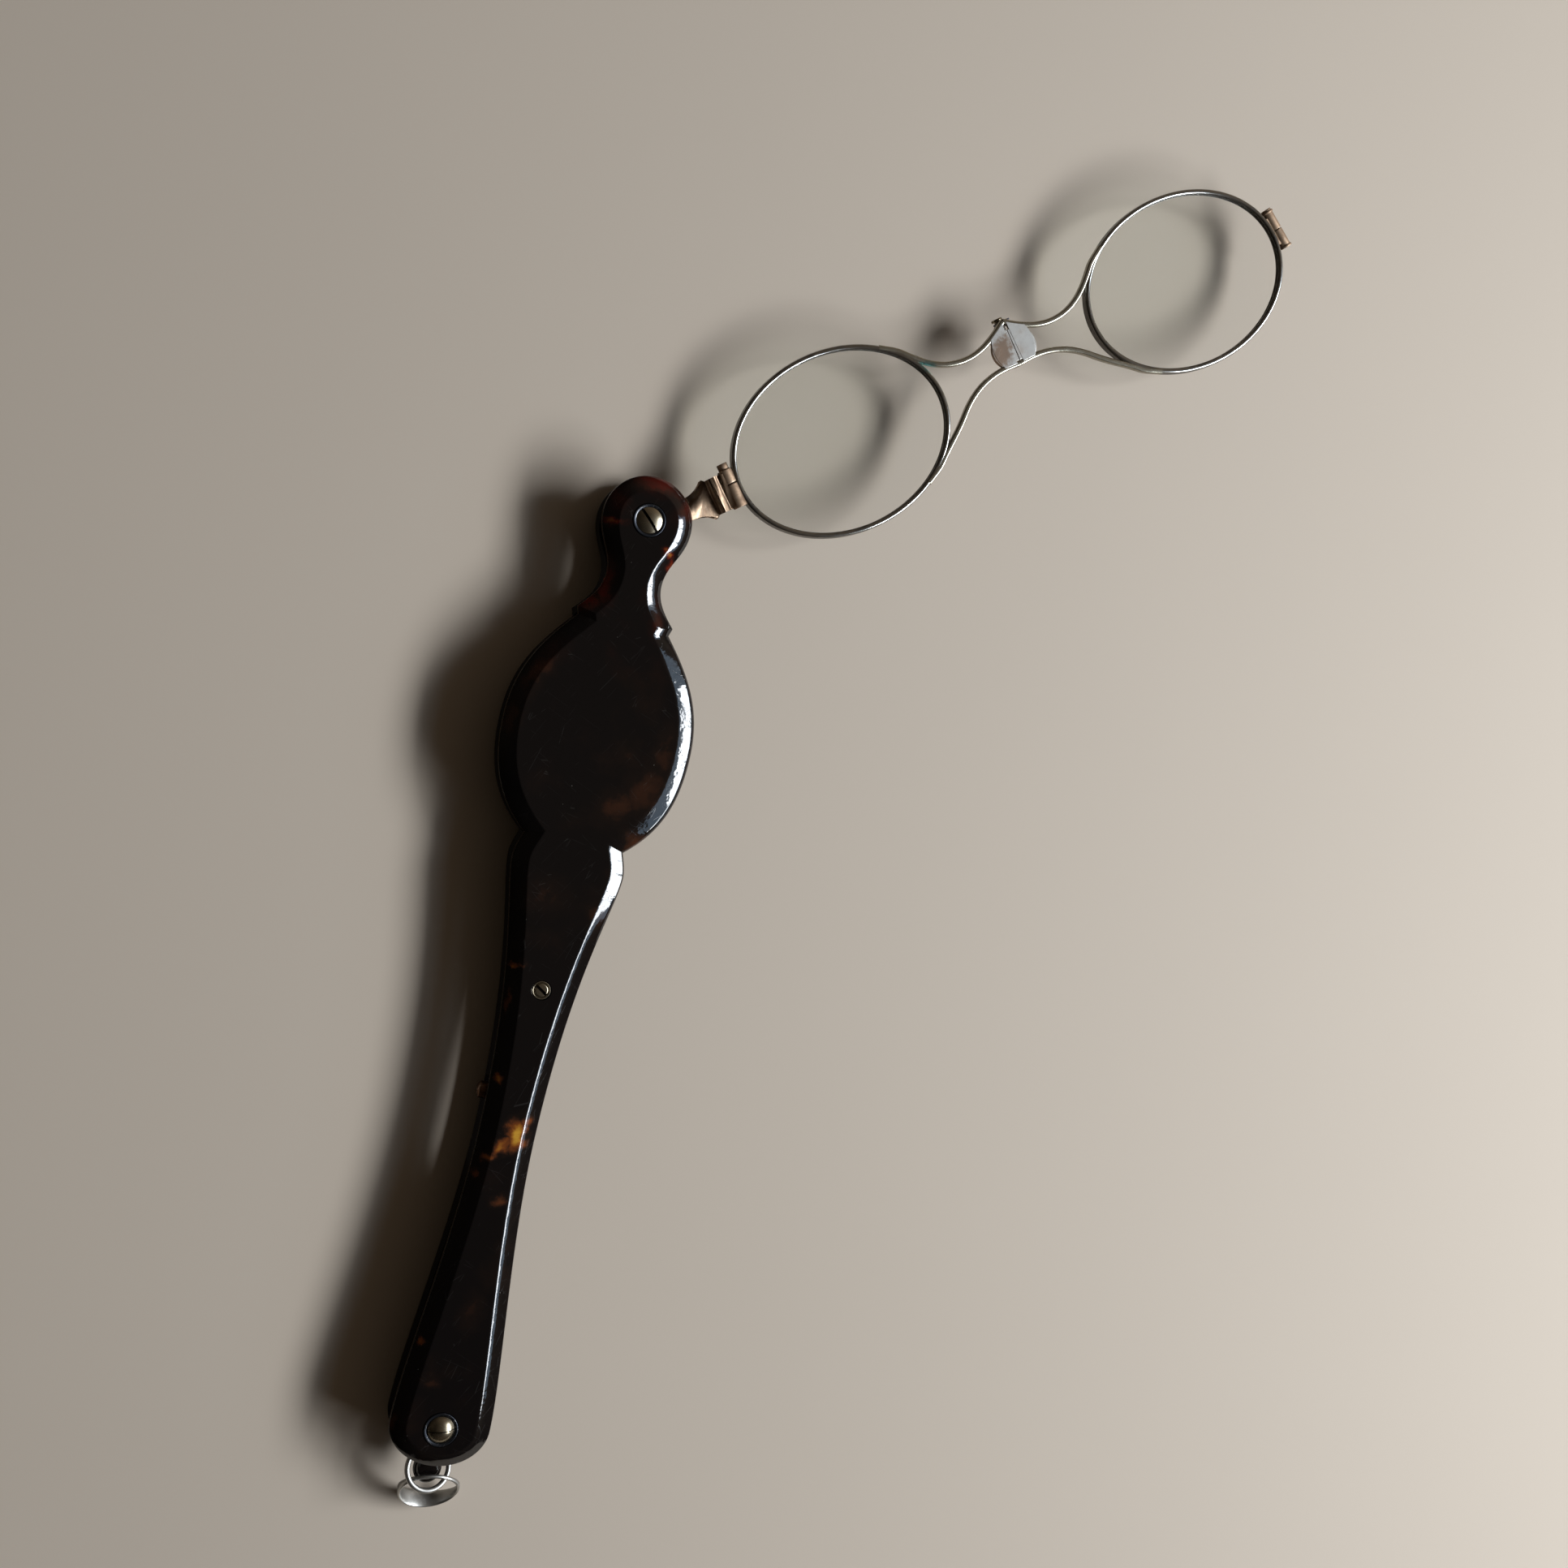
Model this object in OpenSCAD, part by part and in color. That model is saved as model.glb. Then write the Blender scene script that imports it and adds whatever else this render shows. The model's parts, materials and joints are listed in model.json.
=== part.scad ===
// Folding lorgnette whose handle is also the case.
// The handle lies along -Y from the pivot, its back resting on Z = 0, and the
// glasses are drawn swung out and unfolded. All lengths are in millimetres.

/* [Handle outline] */
// Radius of the round knob at the pivot
knob_r = 6.4; // [5.6:0.1:7.2]
// Half width of the neck under the knob
neck_hw = 4.0; // [3.4:0.1:4.6]
// Distance from the pivot to the neck
neck_y = 8.3; // [7.8:0.1:9.2]
// Half width across the shoulder points below the neck
shoulder_hw = 6.9; // [6.4:0.1:7.6]
// Distance from the pivot to the shoulder points
shoulder_y = 13.8; // [13.2:0.1:14.4]
// Step in of the small notch under each shoulder point
notch_in = 0.35; // [0.2:0.05:0.6]
// Height of the notch under each shoulder point
notch_h = 1.1; // [0.8:0.1:1.5]
// Half width of the case body at its widest
body_hw = 13.45; // [13.2:0.05:14.6]
// Distance from the pivot to the widest part of the body
body_y = 31.0; // [29.5:0.5:32.5]
// Half width at the waist notch below the body
waist_hw = 7.1; // [6.6:0.1:7.8]
// Distance from the pivot to the waist notch
waist_y = 46.1; // [45.0:0.1:47.0]
// Half width of the swelling below the waist
swell_hw = 7.95; // [7.6:0.05:8.6]
// Distance from the waist notch to the widest part of the swelling
swell_drop = 3.5; // [2.5:0.1:4.5]
// Half width of the slimmest part of the grip
slim_hw = 3.95; // [3.8:0.05:4.6]
// Distance from the pivot to the slimmest part
slim_y = 88; // [84:1:92]
// Half width of the tail at its screw
tail_hw = 7.0; // [6.4:0.1:8.0]
// Length of the round end past the tail screw
tail_end = 5.7; // [5.4:0.1:6.6]

/* [Scales and slot] */
// Thickness of each shell scale
scale_t = 2.3; // [2.0:0.1:3.0]
// Height of a scale's upright edge below its bevel
edge_t = 0.8; // [0.5:0.1:1.2]
// Width of the bevel round the outer face of a scale
bevel = 2.3; // [1.8:0.1:2.6]
// Height of the slot between the scales
slot_t = 5.0; // [5.0:0.1:6.0]

/* [Fasteners] */
// Distance from the pivot to the middle screw
mid_y = 67; // [65.5:0.5:68]
// Distance from the pivot to the tail screw
tail_y = 129; // [126:1:134]
// Radius of the pivot screw's head
pivot_head_r = 1.9; // [1.6:0.1:2.1]
// Rise of the pivot screw's domed head
pivot_dome = 0.45; // [0.3:0.05:0.7]
// Radius of the middle screw's head
mid_head_r = 1.3; // [1.1:0.1:1.6]
// Radius of the tail screw's head
tail_head_r = 1.95; // [1.7:0.05:2.2]
// Rise of the tail screw's domed head
tail_dome = 0.95; // [0.6:0.05:1.2]
// Width of the bright ring showing round a domed head
cup_rim = 0.55; // [0.4:0.05:0.75]
// Radius of a screw's shank
shank_r = 0.75; // [0.6:0.05:0.9]
// Radius of the pivot barrel that the stem turns on
barrel_r = 1.3; // [1.2:0.05:1.6]
// Radius of the other sleeve nuts
sleeve_r = 1.05; // [1.0:0.05:1.3]
// Radius of a sleeve nut's flush head
nut_head_r = 2.3; // [2.0:0.1:2.6]
// Thickness of a sleeve nut's head
nut_head_t = 0.8; // [0.6:0.1:1.0]
// Width of a screw slot
slot_w = 0.45; // [0.3:0.05:0.6]
// Depth of a screw slot
slot_depth = 0.4; // [0.3:0.05:0.5]

/* [Glasses] */
// Heading of the swung out glasses above +X
open_angle = 39.1; // [20:0.1:60]
// Half length of an eyewire's oval
oval_rx = 16.9; // [16:0.1:17.2]
// Half height of an eyewire's oval
oval_ry = 13.1; // [12.4:0.1:13.2]
// Distance from the pivot to the near oval's centre
near_x = 31.6; // [31.3:0.1:32.5]
// Drop of the ovals' centre line below the pivot line
oval_drop = 1.3; // [1.0:0.1:1.5]
// Distance from the near oval's centre to the bridge hinge
half_bridge = 30.3; // [29.8:0.1:31]
// Width of an eyewire seen from the front
rim_w = 1.15; // [1.0:0.05:1.4]
// Depth of an eyewire from front to back
rim_h = 1.9; // [1.7:0.05:1.95]
// Depth of the groove that holds the glass
groove = 0.4; // [0.3:0.05:0.5]
// Thickness of the glass
glass_t = 1.3; // [1.1:0.05:1.5]
// Thickness of the glass where it sits in the groove
glass_edge = 0.8; // [0.6:0.05:0.9]

/* [Bridge] */
// Width of a bow wire seen from the front
bow_w = 0.85; // [0.7:0.05:1.1]
// Depth of a bow wire
bow_h = 1.05; // [0.9:0.05:1.1]
// Height of the upper bow's lowest point above the pivot line
bow_low = 1.85; // [1.6:0.05:2.1]
// Height of the upper bow at the hinge
bow_top = 4.65; // [4.5:0.05:4.8]
// Drop of the lower bow below the pivot line at the hinge
bow_base = 1.9; // [1.8:0.05:2.0]
// Length of a hinge plate along the glasses
plate_l = 3.6; // [3.2:0.1:3.8]
// Thickness of a hinge plate
plate_t = 0.7; // [0.6:0.05:0.8]
// Radius of the hinge knuckles
knuckle_r = 1.1; // [1.0:0.05:1.15]
// Radius of the hinge pin
pin_r = 0.5; // [0.4:0.02:0.54]
// Length of the hinge spring along the pin
coil_l = 1.75; // [1.5:0.05:1.85]
// Turns of the hinge spring
coil_turns = 5; // [4:1:6]
// Thickness of the hinge spring's wire
coil_wire = 0.24; // [0.18:0.02:0.26]

/* [Stem] */
// Radius of the stem's hub round the pivot
hub_r = 3.3; // [3.0:0.1:3.6]
// Thickness of the stem's plate
stem_t = 1.8; // [1.6:0.1:1.8]
// Half width of the stem's arm
arm_hw = 1.65; // [1.4:0.05:1.9]
// Half width across the stem's pointed shoulders
stem_shoulder_hw = 2.95; // [2.6:0.05:3.2]
// Drop of the stem's middle line below the pivot line
stem_drop = 0.8; // [0.6:0.05:1.0]
// Radius of the two beads across the stem's end
bead_r = 1.1; // [1.0:0.05:1.1]
// Half length of the beads across the stem
bead_hl = 2.85; // [2.6:0.05:3.0]
// Radius of a closing screw's shank
closing_r = 0.45; // [0.4:0.05:0.5]
// Radius of the near closing screw's head
closing_head_r = 0.78; // [0.7:0.02:0.8]
// Length of the near closing screw's head
closing_head_l = 0.95; // [0.7:0.05:1.1]
// Radius of the lugs on the far eyewire
far_lug_r = 0.82; // [0.75:0.01:0.85]
// Half length of the lugs on the far eyewire
far_lug_hl = 3.1; // [2.8:0.1:3.3]
// Tilt of the far lugs, which lie along the rim
far_lug_tilt = 8.5; // [6:0.5:10]

/* [Release lever] */
// Distance from the pivot to the lever's pin
lever_y = 108; // [106:0.5:109]
// Distance from the pivot to the side button
button_y = 82.8; // [81:0.1:85]
// Radius of the side button
button_r = 1.2; // [1.0:0.05:1.4]
// Length of the side button that stands out of the case
button_out = 1.25; // [1.1:0.05:1.4]
// Thickness of the lever
lever_t = 1.4; // [1.2:0.1:1.6]
// Width of the lever's arm
lever_w = 1.2; // [1.0:0.05:1.3]
// Radius of the lever's pin
lever_pin_r = 0.8; // [0.7:0.05:0.9]
// Thickness of the leaf spring behind the lever
leaf_t = 0.3; // [0.2:0.02:0.4]
// Height of the leaf spring
leaf_h = 2.4; // [2.0:0.1:3.0]

/* [Tail rings] */
// Radius of the shell ball at the end of the tongue
ball_r = 1.8; // [1.6:0.05:1.9]
// Half width of the tongue's neck
tongue_hw = 0.8; // [0.7:0.05:0.9]
// Radius of the jump ring at the middle of its wire
jump_r = 3.0; // [2.95:0.05:3.2]
// Thickness of the jump ring's wire
jump_wire = 0.76; // [0.64:0.02:0.8]
// Radius of the chain ring at the middle of its band
chain_r = 4.1; // [4.05:0.05:4.3]
// Width of the chain ring's band at its widest
chain_wide = 2.4; // [2.0:0.1:2.6]
// Width and thickness of the chain ring's band at its narrowest
chain_thin = 0.6; // [0.5:0.02:0.62]

/* [Hidden] */

// Clearance between a turning piece and its shaft
run_fit = 0.05;
// Clearance between fixed pieces that fit one in another
seat_fit = 0.03;
// Clearance between flat faces that slide on each other
face_fit = 0.02;
// Length by which a cut runs past the face that it opens
over = 1;
$fn = 48;

shell_colour = [0.11, 0.05, 0.03];
brass_colour = [0.72, 0.58, 0.36];
nickel_colour = [0.66, 0.65, 0.62];
steel_colour = [0.55, 0.54, 0.52];
spring_colour = [0.36, 0.35, 0.36];
glass_colour = [0.80, 0.88, 0.88, 0.35];

slot_z = scale_t;
upper_z = scale_t + slot_t;
total_t = 2 * scale_t + slot_t;
mid_z = total_t / 2;

// Directions and curves in the plane
function toward(heading, length) = length * [cos(heading), sin(heading)];
function bezier(p, t) =
    pow(1 - t, 3) * p[0] + 3 * t * pow(1 - t, 2) * p[1]
    + 3 * t * t * (1 - t) * p[2] + pow(t, 3) * p[3];

// An anchor is [point, heading in, heading out, handle in, handle out]
function anchor(p, h_in, h_out, in_l, out_l) = [p, h_in, h_out, in_l, out_l];
function smooth(p, h, in_l, out_l) = anchor(p, h, h, in_l, out_l);

// Point of an anchor moved to its right by d, with a mitre at a corner
function moved(a, d) =
    a[0] + toward((a[1] + a[2]) / 2 - 90, d / cos((a[2] - a[1]) / 2));

// One curved stretch from anchor a up to, and without, anchor b
function stretch(a, b, n, d = 0) =
    let (
        pa = moved(a, d),
        pb = moved(b, d),
        k = norm(pb - pa) / norm(b[0] - a[0]),
        p = [pa, pa + toward(a[2], k * a[4]), pb - toward(b[1], k * b[3]), pb]
    )
    [for (i = [0:n - 1]) bezier(p, i / n)];

function chain(anchors, counts, d = 0) = [
    for (k = [0:len(counts) - 1])
        each stretch(anchors[k], anchors[k + 1], counts[k], d)
];

function reversed(p) = [for (i = [len(p) - 1:-1:0]) p[i]];
function mirrored_x(p) = [for (q = p) [-q[0], q[1]]];
function mirrored_at(p, x) = [for (q = p) [2 * x - q[0], q[1]]];
function oval(rx, ry, n = 96) = [for (i = [0:n - 1]) [rx * cos(360 * i / n), ry * sin(360 * i / n)]];

// Outline of a band of width w along an open path
function path_dir(p, i) = p[min(i + 1, len(p) - 1)] - p[max(i - 1, 0)];
function path_side(p, i, w) =
    let (d = path_dir(p, i)) p[i] + w * [-d[1], d[0]] / norm(d);
function band(p, w) = concat(
    [for (i = [0:len(p) - 1]) path_side(p, i, w / 2)],
    [for (i = [len(p) - 1:-1:0]) path_side(p, i, -w / 2)]
);

// Right-hand side of the handle from the top of the knob to the tail's end
arc_handle = 0.552;
tail_tip = tail_y + tail_end;
handle_side = [
    smooth([0, knob_r], 0, 0, arc_handle * knob_r),
    smooth([knob_r, 0], -90, arc_handle * knob_r, 3.6),
    smooth([neck_hw, -neck_y], -90, 3.2, 2.2),
    anchor([shoulder_hw, -shoulder_y], -47, -105, 2.4, notch_h / 3),
    anchor([shoulder_hw - notch_in, -shoulder_y - notch_h], -105, -50, notch_h / 3, 6.2),
    smooth([body_hw, -body_y], -90, 7.2, 6.6),
    anchor([waist_hw, -waist_y], -140, -72, 6.0, 1.3),
    smooth([swell_hw, -waist_y - swell_drop], -90, 1.2, 4.2),
    smooth([slim_hw, -slim_y], -90, 24, 15),
    smooth([tail_hw, -tail_y], -90, 8, arc_handle * tail_end),
    smooth([0, -tail_tip], -180, arc_handle * tail_hw, 0)
];
side_counts = [9, 7, 6, 1, 10, 10, 3, 12, 9, 8];

// Whole outline anticlockwise from the top of the knob, moved inward by d
function handle_outline(d = 0) =
    let (
        right = chain(handle_side, side_counts, d),
        tip = moved(handle_side[len(handle_side) - 1], d),
        inner_right = [for (i = [1:len(right) - 1]) right[i]]
    )
    concat([right[0]], mirrored_x(inner_right), [tip], reversed(inner_right));

// Level face of a mirrored outline of n points, as strips from side to side
function strip(n, i) =
    let (a = i, b = i + 1, c = n - 1 - i, d = (n - i) % n)
    i == 0 ? [a, b, c] : b == c ? [a, b, d] : [a, b, c, d];
function level_faces(n, base, up) = [
    for (i = [0:n / 2 - 1])
        let (f = [for (q = strip(n, i)) base + q])
        up ? reversed(f) : f
];

// Plate with an upright edge and a bevelled outer face towards +Z
module bevelled_plate() {
    edge = handle_outline();
    face = handle_outline(bevel);
    n = len(edge);
    points = concat(
        [for (p = edge) [p[0], p[1], 0]],
        [for (p = edge) [p[0], p[1], edge_t]],
        [for (p = face) [p[0], p[1], scale_t]]
    );
    walls = [
        for (r = [0:1], i = [0:n - 1])
            let (j = (i + 1) % n, a = r * n, b = (r + 1) * n)
            each [[a + i, b + i, b + j], [a + i, b + j, a + j]]
    ];
    polyhedron(points, concat(level_faces(n, 0, false), walls, level_faces(n, 2 * n, true)));
}

// Solids of revolution round the three fasteners
module disc(r, z0, z1) { translate([0, 0, z0]) cylinder(r = r, h = z1 - z0); }
module tube(r_out, r_in, z0, z1) {
    difference() {
        disc(r_out, z0, z1);
        disc(r_in, z0 - over, z1 + over);
    }
}

// Domed head with its flat side at z = 0
module dome(r, rise) {
    ball = (r * r + rise * rise) / (2 * rise);
    intersection() {
        translate([0, 0, rise - ball]) sphere(r = ball, $fn = 96);
        disc(r, 0, rise + over);
    }
}

// Slotted screw whose head's flat side is at z = 0 and whose shank hangs down
module slotted_screw(head_r, head_t, rise, shank_l, slot_turn) {
    difference() {
        union() {
            if (rise > 0) translate([0, 0, head_t]) dome(head_r, rise);
            disc(head_r, 0, head_t);
            disc(shank_r, -shank_l, 0);
        }
        rotate([0, 0, slot_turn])
            translate([-head_r - over, -slot_w / 2, head_t + rise - slot_depth])
                cube([2 * (head_r + over), slot_w, slot_depth + over]);
    }
}

// Sleeve nut with a closed flush head at z = 0
module sleeve_nut(r, top) {
    difference() {
        union() {
            disc(nut_head_r, 0, nut_head_t);
            disc(r, 0, top);
        }
        disc(shank_r + seat_fit, nut_head_t, top + over);
    }
}

// Seats of the domed heads
cup_sink = 0.55;
cup_floor = 0.25;
cup_proud = 0.12;
module cup(head_r) {
    difference() {
        disc(head_r + cup_rim, total_t - cup_sink, total_t + cup_proud);
        disc(shank_r + seat_fit, total_t - cup_sink - over, total_t + over);
        disc(head_r + seat_fit, total_t - cup_sink + cup_floor, total_t + over);
    }
}
head_seat_z = total_t - cup_sink + cup_floor;
mid_sink = 0.75;
sleeve_gap = 0.1;

module at_pivot() { children(); }
module at_middle() { translate([0, -mid_y, 0]) children(); }
module at_tail() { translate([0, -tail_y, 0]) children(); }

// Places in the handle that both scales share
stop_turn = 205;
stop_reach = 4.5;
stop_pin_r = 0.55;
stop_sink = 1.2;
lever_pin_x = -0.9;
lever_pin_sink = 1.1;
module at_lever_pin() { translate([lever_pin_x, -lever_y, 0]) children(); }
module at_stop_pin() { rotate([0, 0, stop_turn]) translate([stop_reach, 0, 0]) children(); }

module upper_scale() {
    color(shell_colour)
    difference() {
        translate([0, 0, upper_z]) bevelled_plate();
        at_pivot() head_hole(barrel_r, pivot_head_r + cup_rim, total_t - cup_sink);
        at_middle() head_hole(sleeve_r, mid_head_r + seat_fit, total_t - mid_sink);
        at_tail() head_hole(sleeve_r, tail_head_r + cup_rim, total_t - cup_sink);
        at_lever_pin() disc(lever_pin_r + seat_fit, upper_z - over, upper_z + lever_pin_sink);
    }
}

module lower_scale() {
    color(shell_colour)
    difference() {
        translate([0, 0, slot_z]) mirror([0, 0, 1]) bevelled_plate();
        at_pivot() sleeve_hole(barrel_r);
        at_middle() sleeve_hole(sleeve_r);
        at_tail() sleeve_hole(sleeve_r);
        at_lever_pin() disc(lever_pin_r + seat_fit, slot_z - lever_pin_sink, slot_z + over);
        at_stop_pin() disc(stop_pin_r + seat_fit, slot_z - stop_sink, slot_z + over);
    }
}

// Bores that widen for a head, each turned in one piece
module stepped_hole(r_low, r_high, z0, z1, z2) {
    rotate_extrude()
        polygon([[0, z0], [r_low, z0], [r_low, z1], [r_high, z1], [r_high, z2], [0, z2]]);
}
module head_hole(r, head_r, z) {
    stepped_hole(r + seat_fit, head_r + seat_fit, upper_z - over, z, total_t + over);
}
module sleeve_hole(r) {
    stepped_hole(nut_head_r + seat_fit, r + seat_fit, -over, nut_head_t, slot_z + over);
}

// Spacer between the scales at the tail, with the tongue for the ring
spacer_inset = 1.0;
spacer_top = lever_y + 3.2;
ring_hole_y = tail_tip - 1.6;
ring_hole_r = jump_wire / 2 + 0.3;
spacer_end = ring_hole_y - 1.0;
ball_y = ring_hole_y + jump_r;
ball_cut = 1.25;
neck_end = ball_y - ball_r / 2;
module tail_spacer() {
    color(shell_colour)
    difference() {
        union() {
            intersection() {
                translate([0, 0, slot_z]) linear_extrude(slot_t) polygon(handle_outline(spacer_inset));
                translate([-tail_hw - over, -spacer_end, slot_z - over])
                    cube([2 * (tail_hw + over), spacer_end - spacer_top, slot_t + 2 * over]);
            }
            translate([-tongue_hw, -neck_end, mid_z - ball_cut])
                cube([2 * tongue_hw, neck_end - spacer_end + over, 2 * ball_cut]);
            intersection() {
                translate([0, -ball_y, mid_z]) sphere(r = ball_r, $fn = 64);
                translate([-ball_r, -ball_y - ball_r, mid_z - ball_cut])
                    cube([2 * ball_r, 2 * ball_r, 2 * ball_cut]);
            }
        }
        at_tail() disc(sleeve_r + seat_fit, slot_z - over, upper_z + over);
        translate([-tongue_hw - over, -ring_hole_y, mid_z]) rotate([0, 90, 0])
            cylinder(r = ring_hole_r, h = 2 * (tongue_hw + over));
        leaf_cut();
    }
}

module pivot_screw() {
    color(steel_colour) at_pivot() translate([0, 0, head_seat_z])
        slotted_screw(pivot_head_r, cup_sink - cup_floor, pivot_dome, slot_t, -58);
}
module pivot_cup() { color(nickel_colour) at_pivot() cup(pivot_head_r); }
module pivot_barrel() {
    color(steel_colour) at_pivot() sleeve_nut(barrel_r, total_t - cup_sink - sleeve_gap);
}
module middle_screw() {
    color(steel_colour) at_middle() translate([0, 0, total_t - mid_sink])
        slotted_screw(mid_head_r, mid_sink - sleeve_gap, 0, slot_t, -58);
}
module middle_nut() {
    color(steel_colour) at_middle() sleeve_nut(sleeve_r, total_t - mid_sink - sleeve_gap);
}
module tail_screw() {
    color(steel_colour) at_tail() translate([0, 0, head_seat_z])
        slotted_screw(tail_head_r, cup_sink - cup_floor, tail_dome, slot_t, 4);
}
module tail_cup() { color(nickel_colour) at_tail() cup(tail_head_r); }
module tail_nut() {
    color(steel_colour) at_tail() sleeve_nut(sleeve_r, total_t - cup_sink - sleeve_gap);
}

// Spacer tube round the middle sleeve
sleeve_wall = 0.35;
module middle_sleeve() {
    color(brass_colour) at_middle()
        tube(sleeve_r + seat_fit + sleeve_wall, sleeve_r + seat_fit, slot_z, upper_z);
}

// Stack on the pivot barrel: washer, sprung washer, stem hub, washer
hub_z0 = 4.0;
hub_z1 = hub_z0 + stem_t;
washer_r = 3.0;
low_washer_t = 0.9;
cone_t = 0.3;
module upper_washer() {
    color(brass_colour) at_pivot() tube(washer_r, barrel_r + seat_fit, hub_z1 + face_fit, upper_z);
}
module lower_washer() {
    color(brass_colour) at_pivot() tube(washer_r, barrel_r + seat_fit, slot_z, slot_z + low_washer_t);
}
module tension_washer() {
    r0 = barrel_r + seat_fit;
    z0 = slot_z + low_washer_t;
    rise = hub_z0 - face_fit - z0 - cone_t;
    color(spring_colour) at_pivot() rotate_extrude()
        polygon([[r0, z0 + rise], [washer_r, z0], [washer_r, z0 + cone_t], [r0, z0 + cone_t + rise]]);
}
module stop_pin() {
    color(steel_colour) at_stop_pin()
        disc(stop_pin_r, slot_z - stop_sink, hub_z1 + 0.6);
}

// Release lever, drawn along its middle line from the pin to the tip
lever_tip_y = 63.4;
lever_tip_x = -2.7;
tip_pad_r = 0.8;
eye_r = 1.7;
eye_clear = 0.1;
lever_path = [
    smooth([lever_pin_x, -lever_y], 104, 0, 5),
    smooth([-slim_hw + 0.75 + lever_w / 2, -slim_y + 1], 92, 6, 6),
    smooth([-slim_hw + 0.15, -mid_y - 1], 92, 8, 1.6),
    smooth([lever_tip_x, -lever_tip_y], 48, 1.2, 0)
];
lever_points = concat(chain(lever_path, [8, 8, 6]), [[lever_tip_x, -lever_tip_y]]);
module release_lever() {
    color(steel_colour)
    difference() {
        union() {
            translate([0, 0, mid_z - lever_t / 2]) linear_extrude(lever_t) {
                polygon(band(lever_points, lever_w));
                translate([lever_tip_x, -lever_tip_y]) circle(r = tip_pad_r);
            }
            at_lever_pin() disc(eye_r, slot_z + eye_clear, upper_z - eye_clear);
        }
        at_lever_pin() disc(lever_pin_r + run_fit, slot_z - over, upper_z + over);
    }
}
module lever_pin() {
    color(steel_colour) at_lever_pin()
        disc(lever_pin_r, slot_z - lever_pin_sink, upper_z + lever_pin_sink);
}

// Side button, forked over the lever's outer edge
button_dome = 0.5;
fork_gap = 0.1;
fork_bite = 0.7;
button_edge = slim_hw + 0.05;
lever_edge = slim_hw - 0.4;
module side_button() {
    tip = button_edge + button_out;
    root = lever_edge - fork_bite;
    color(nickel_colour)
    translate([0, -button_y, mid_z])
    difference() {
        translate([-root, 0, 0]) rotate([0, -90, 0]) {
            cylinder(r = button_r, h = tip - root - button_dome);
            translate([0, 0, tip - root - button_dome]) dome(button_r, button_dome);
        }
        translate([-lever_edge - fork_gap, -button_r - over, -lever_t / 2 - seat_fit])
            cube([lever_edge, 2 * (button_r + over), lever_t + 2 * seat_fit]);
    }
}

// Leaf spring, held in a saw cut in the spacer and lying against the lever
leaf_root = 3.0;
leaf_x = 1.9;
leaf_touch_y = 93.5;
leaf_touch_x = -slim_hw + 0.75 + lever_w + leaf_t / 2 + 0.3;
leaf_path = [
    smooth([leaf_x, -spacer_top - leaf_root], 90, 0, 1),
    smooth([leaf_x, -spacer_top + 0.5], 90, 1, 6),
    smooth([leaf_touch_x, -leaf_touch_y], 98, 6, 0)
];
leaf_points = concat(chain(leaf_path, [1, 10]), [[leaf_touch_x, -leaf_touch_y]]);
module lever_spring() {
    color(spring_colour)
        translate([0, 0, mid_z - leaf_h / 2]) linear_extrude(leaf_h) polygon(band(leaf_points, leaf_t));
}
module leaf_cut() {
    w = leaf_t + 2 * seat_fit;
    translate([leaf_x - w / 2, -spacer_top - leaf_root - seat_fit, mid_z - leaf_h / 2 - seat_fit])
        cube([w, leaf_root + over, leaf_h + 2 * seat_fit]);
}

// The glasses lie along +X of their own frame and are swung to open_angle
module swung() { rotate([0, 0, open_angle]) children(); }
seam_x = near_x + half_bridge;
far_x = near_x + 2 * half_bridge;
rim_gap = 0.15;
rim_z0 = mid_z + rim_gap;
rim_z = rim_z0 + rim_h / 2;
module at_near() { translate([near_x, -oval_drop, 0]) children(); }
module at_far() { translate([far_x, -oval_drop, 0]) children(); }
module oval_slab(inset, z0, z1) {
    translate([0, 0, z0]) linear_extrude(z1 - z0) polygon(oval(oval_rx - inset, oval_ry - inset));
}
module rim_ring() {
    difference() {
        oval_slab(0, rim_z0, rim_z0 + rim_h);
        oval_slab(rim_w, rim_z0 - over, rim_z0 + rim_h + over);
        oval_slab(rim_w - groove, rim_z - glass_edge / 2 - seat_fit, rim_z + glass_edge / 2 + seat_fit);
    }
}
module glass() {
    oval_slab(rim_w - groove + seat_fit, rim_z - glass_edge / 2, rim_z + glass_edge / 2);
    oval_slab(rim_w + groove, rim_z - glass_t / 2, rim_z + glass_t / 2);
}

// Cylinder across the glasses, from y0 to y1
module cross_rod(r, y0, y1) { translate([0, y1, 0]) rotate([90, 0, 0]) cylinder(r = r, h = y1 - y0); }

// Closing lugs on the near eyewire, split from each other by a saw cut
bead_gap = 0.06;
bead2_x = near_x - oval_rx - bead_r + 0.15;
bead1_x = bead2_x - 2 * bead_r - bead_gap;
split_w = 0.14;
near_split_y = -0.1;
closing_fit = 0.03;
module near_rim() {
    color(nickel_colour) swung()
    difference() {
        union() {
            at_near() rim_ring();
            difference() {
                translate([bead2_x, -stem_drop, rim_z]) cross_rod(bead_r, -bead_hl, bead_hl);
                at_near() oval_slab(rim_w / 2, rim_z0 - over, rim_z0 + rim_h + over);
            }
        }
        translate([bead2_x - bead_r - over, near_split_y - split_w / 2, rim_z0 - over])
            cube([2 * bead_r + rim_w + 2 * over, split_w, rim_h + 2 * over]);
        translate([bead2_x, 0, rim_z])
            cross_rod(closing_r + closing_fit, -stem_drop - bead_hl + 0.6, bead_hl);
    }
}
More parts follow.
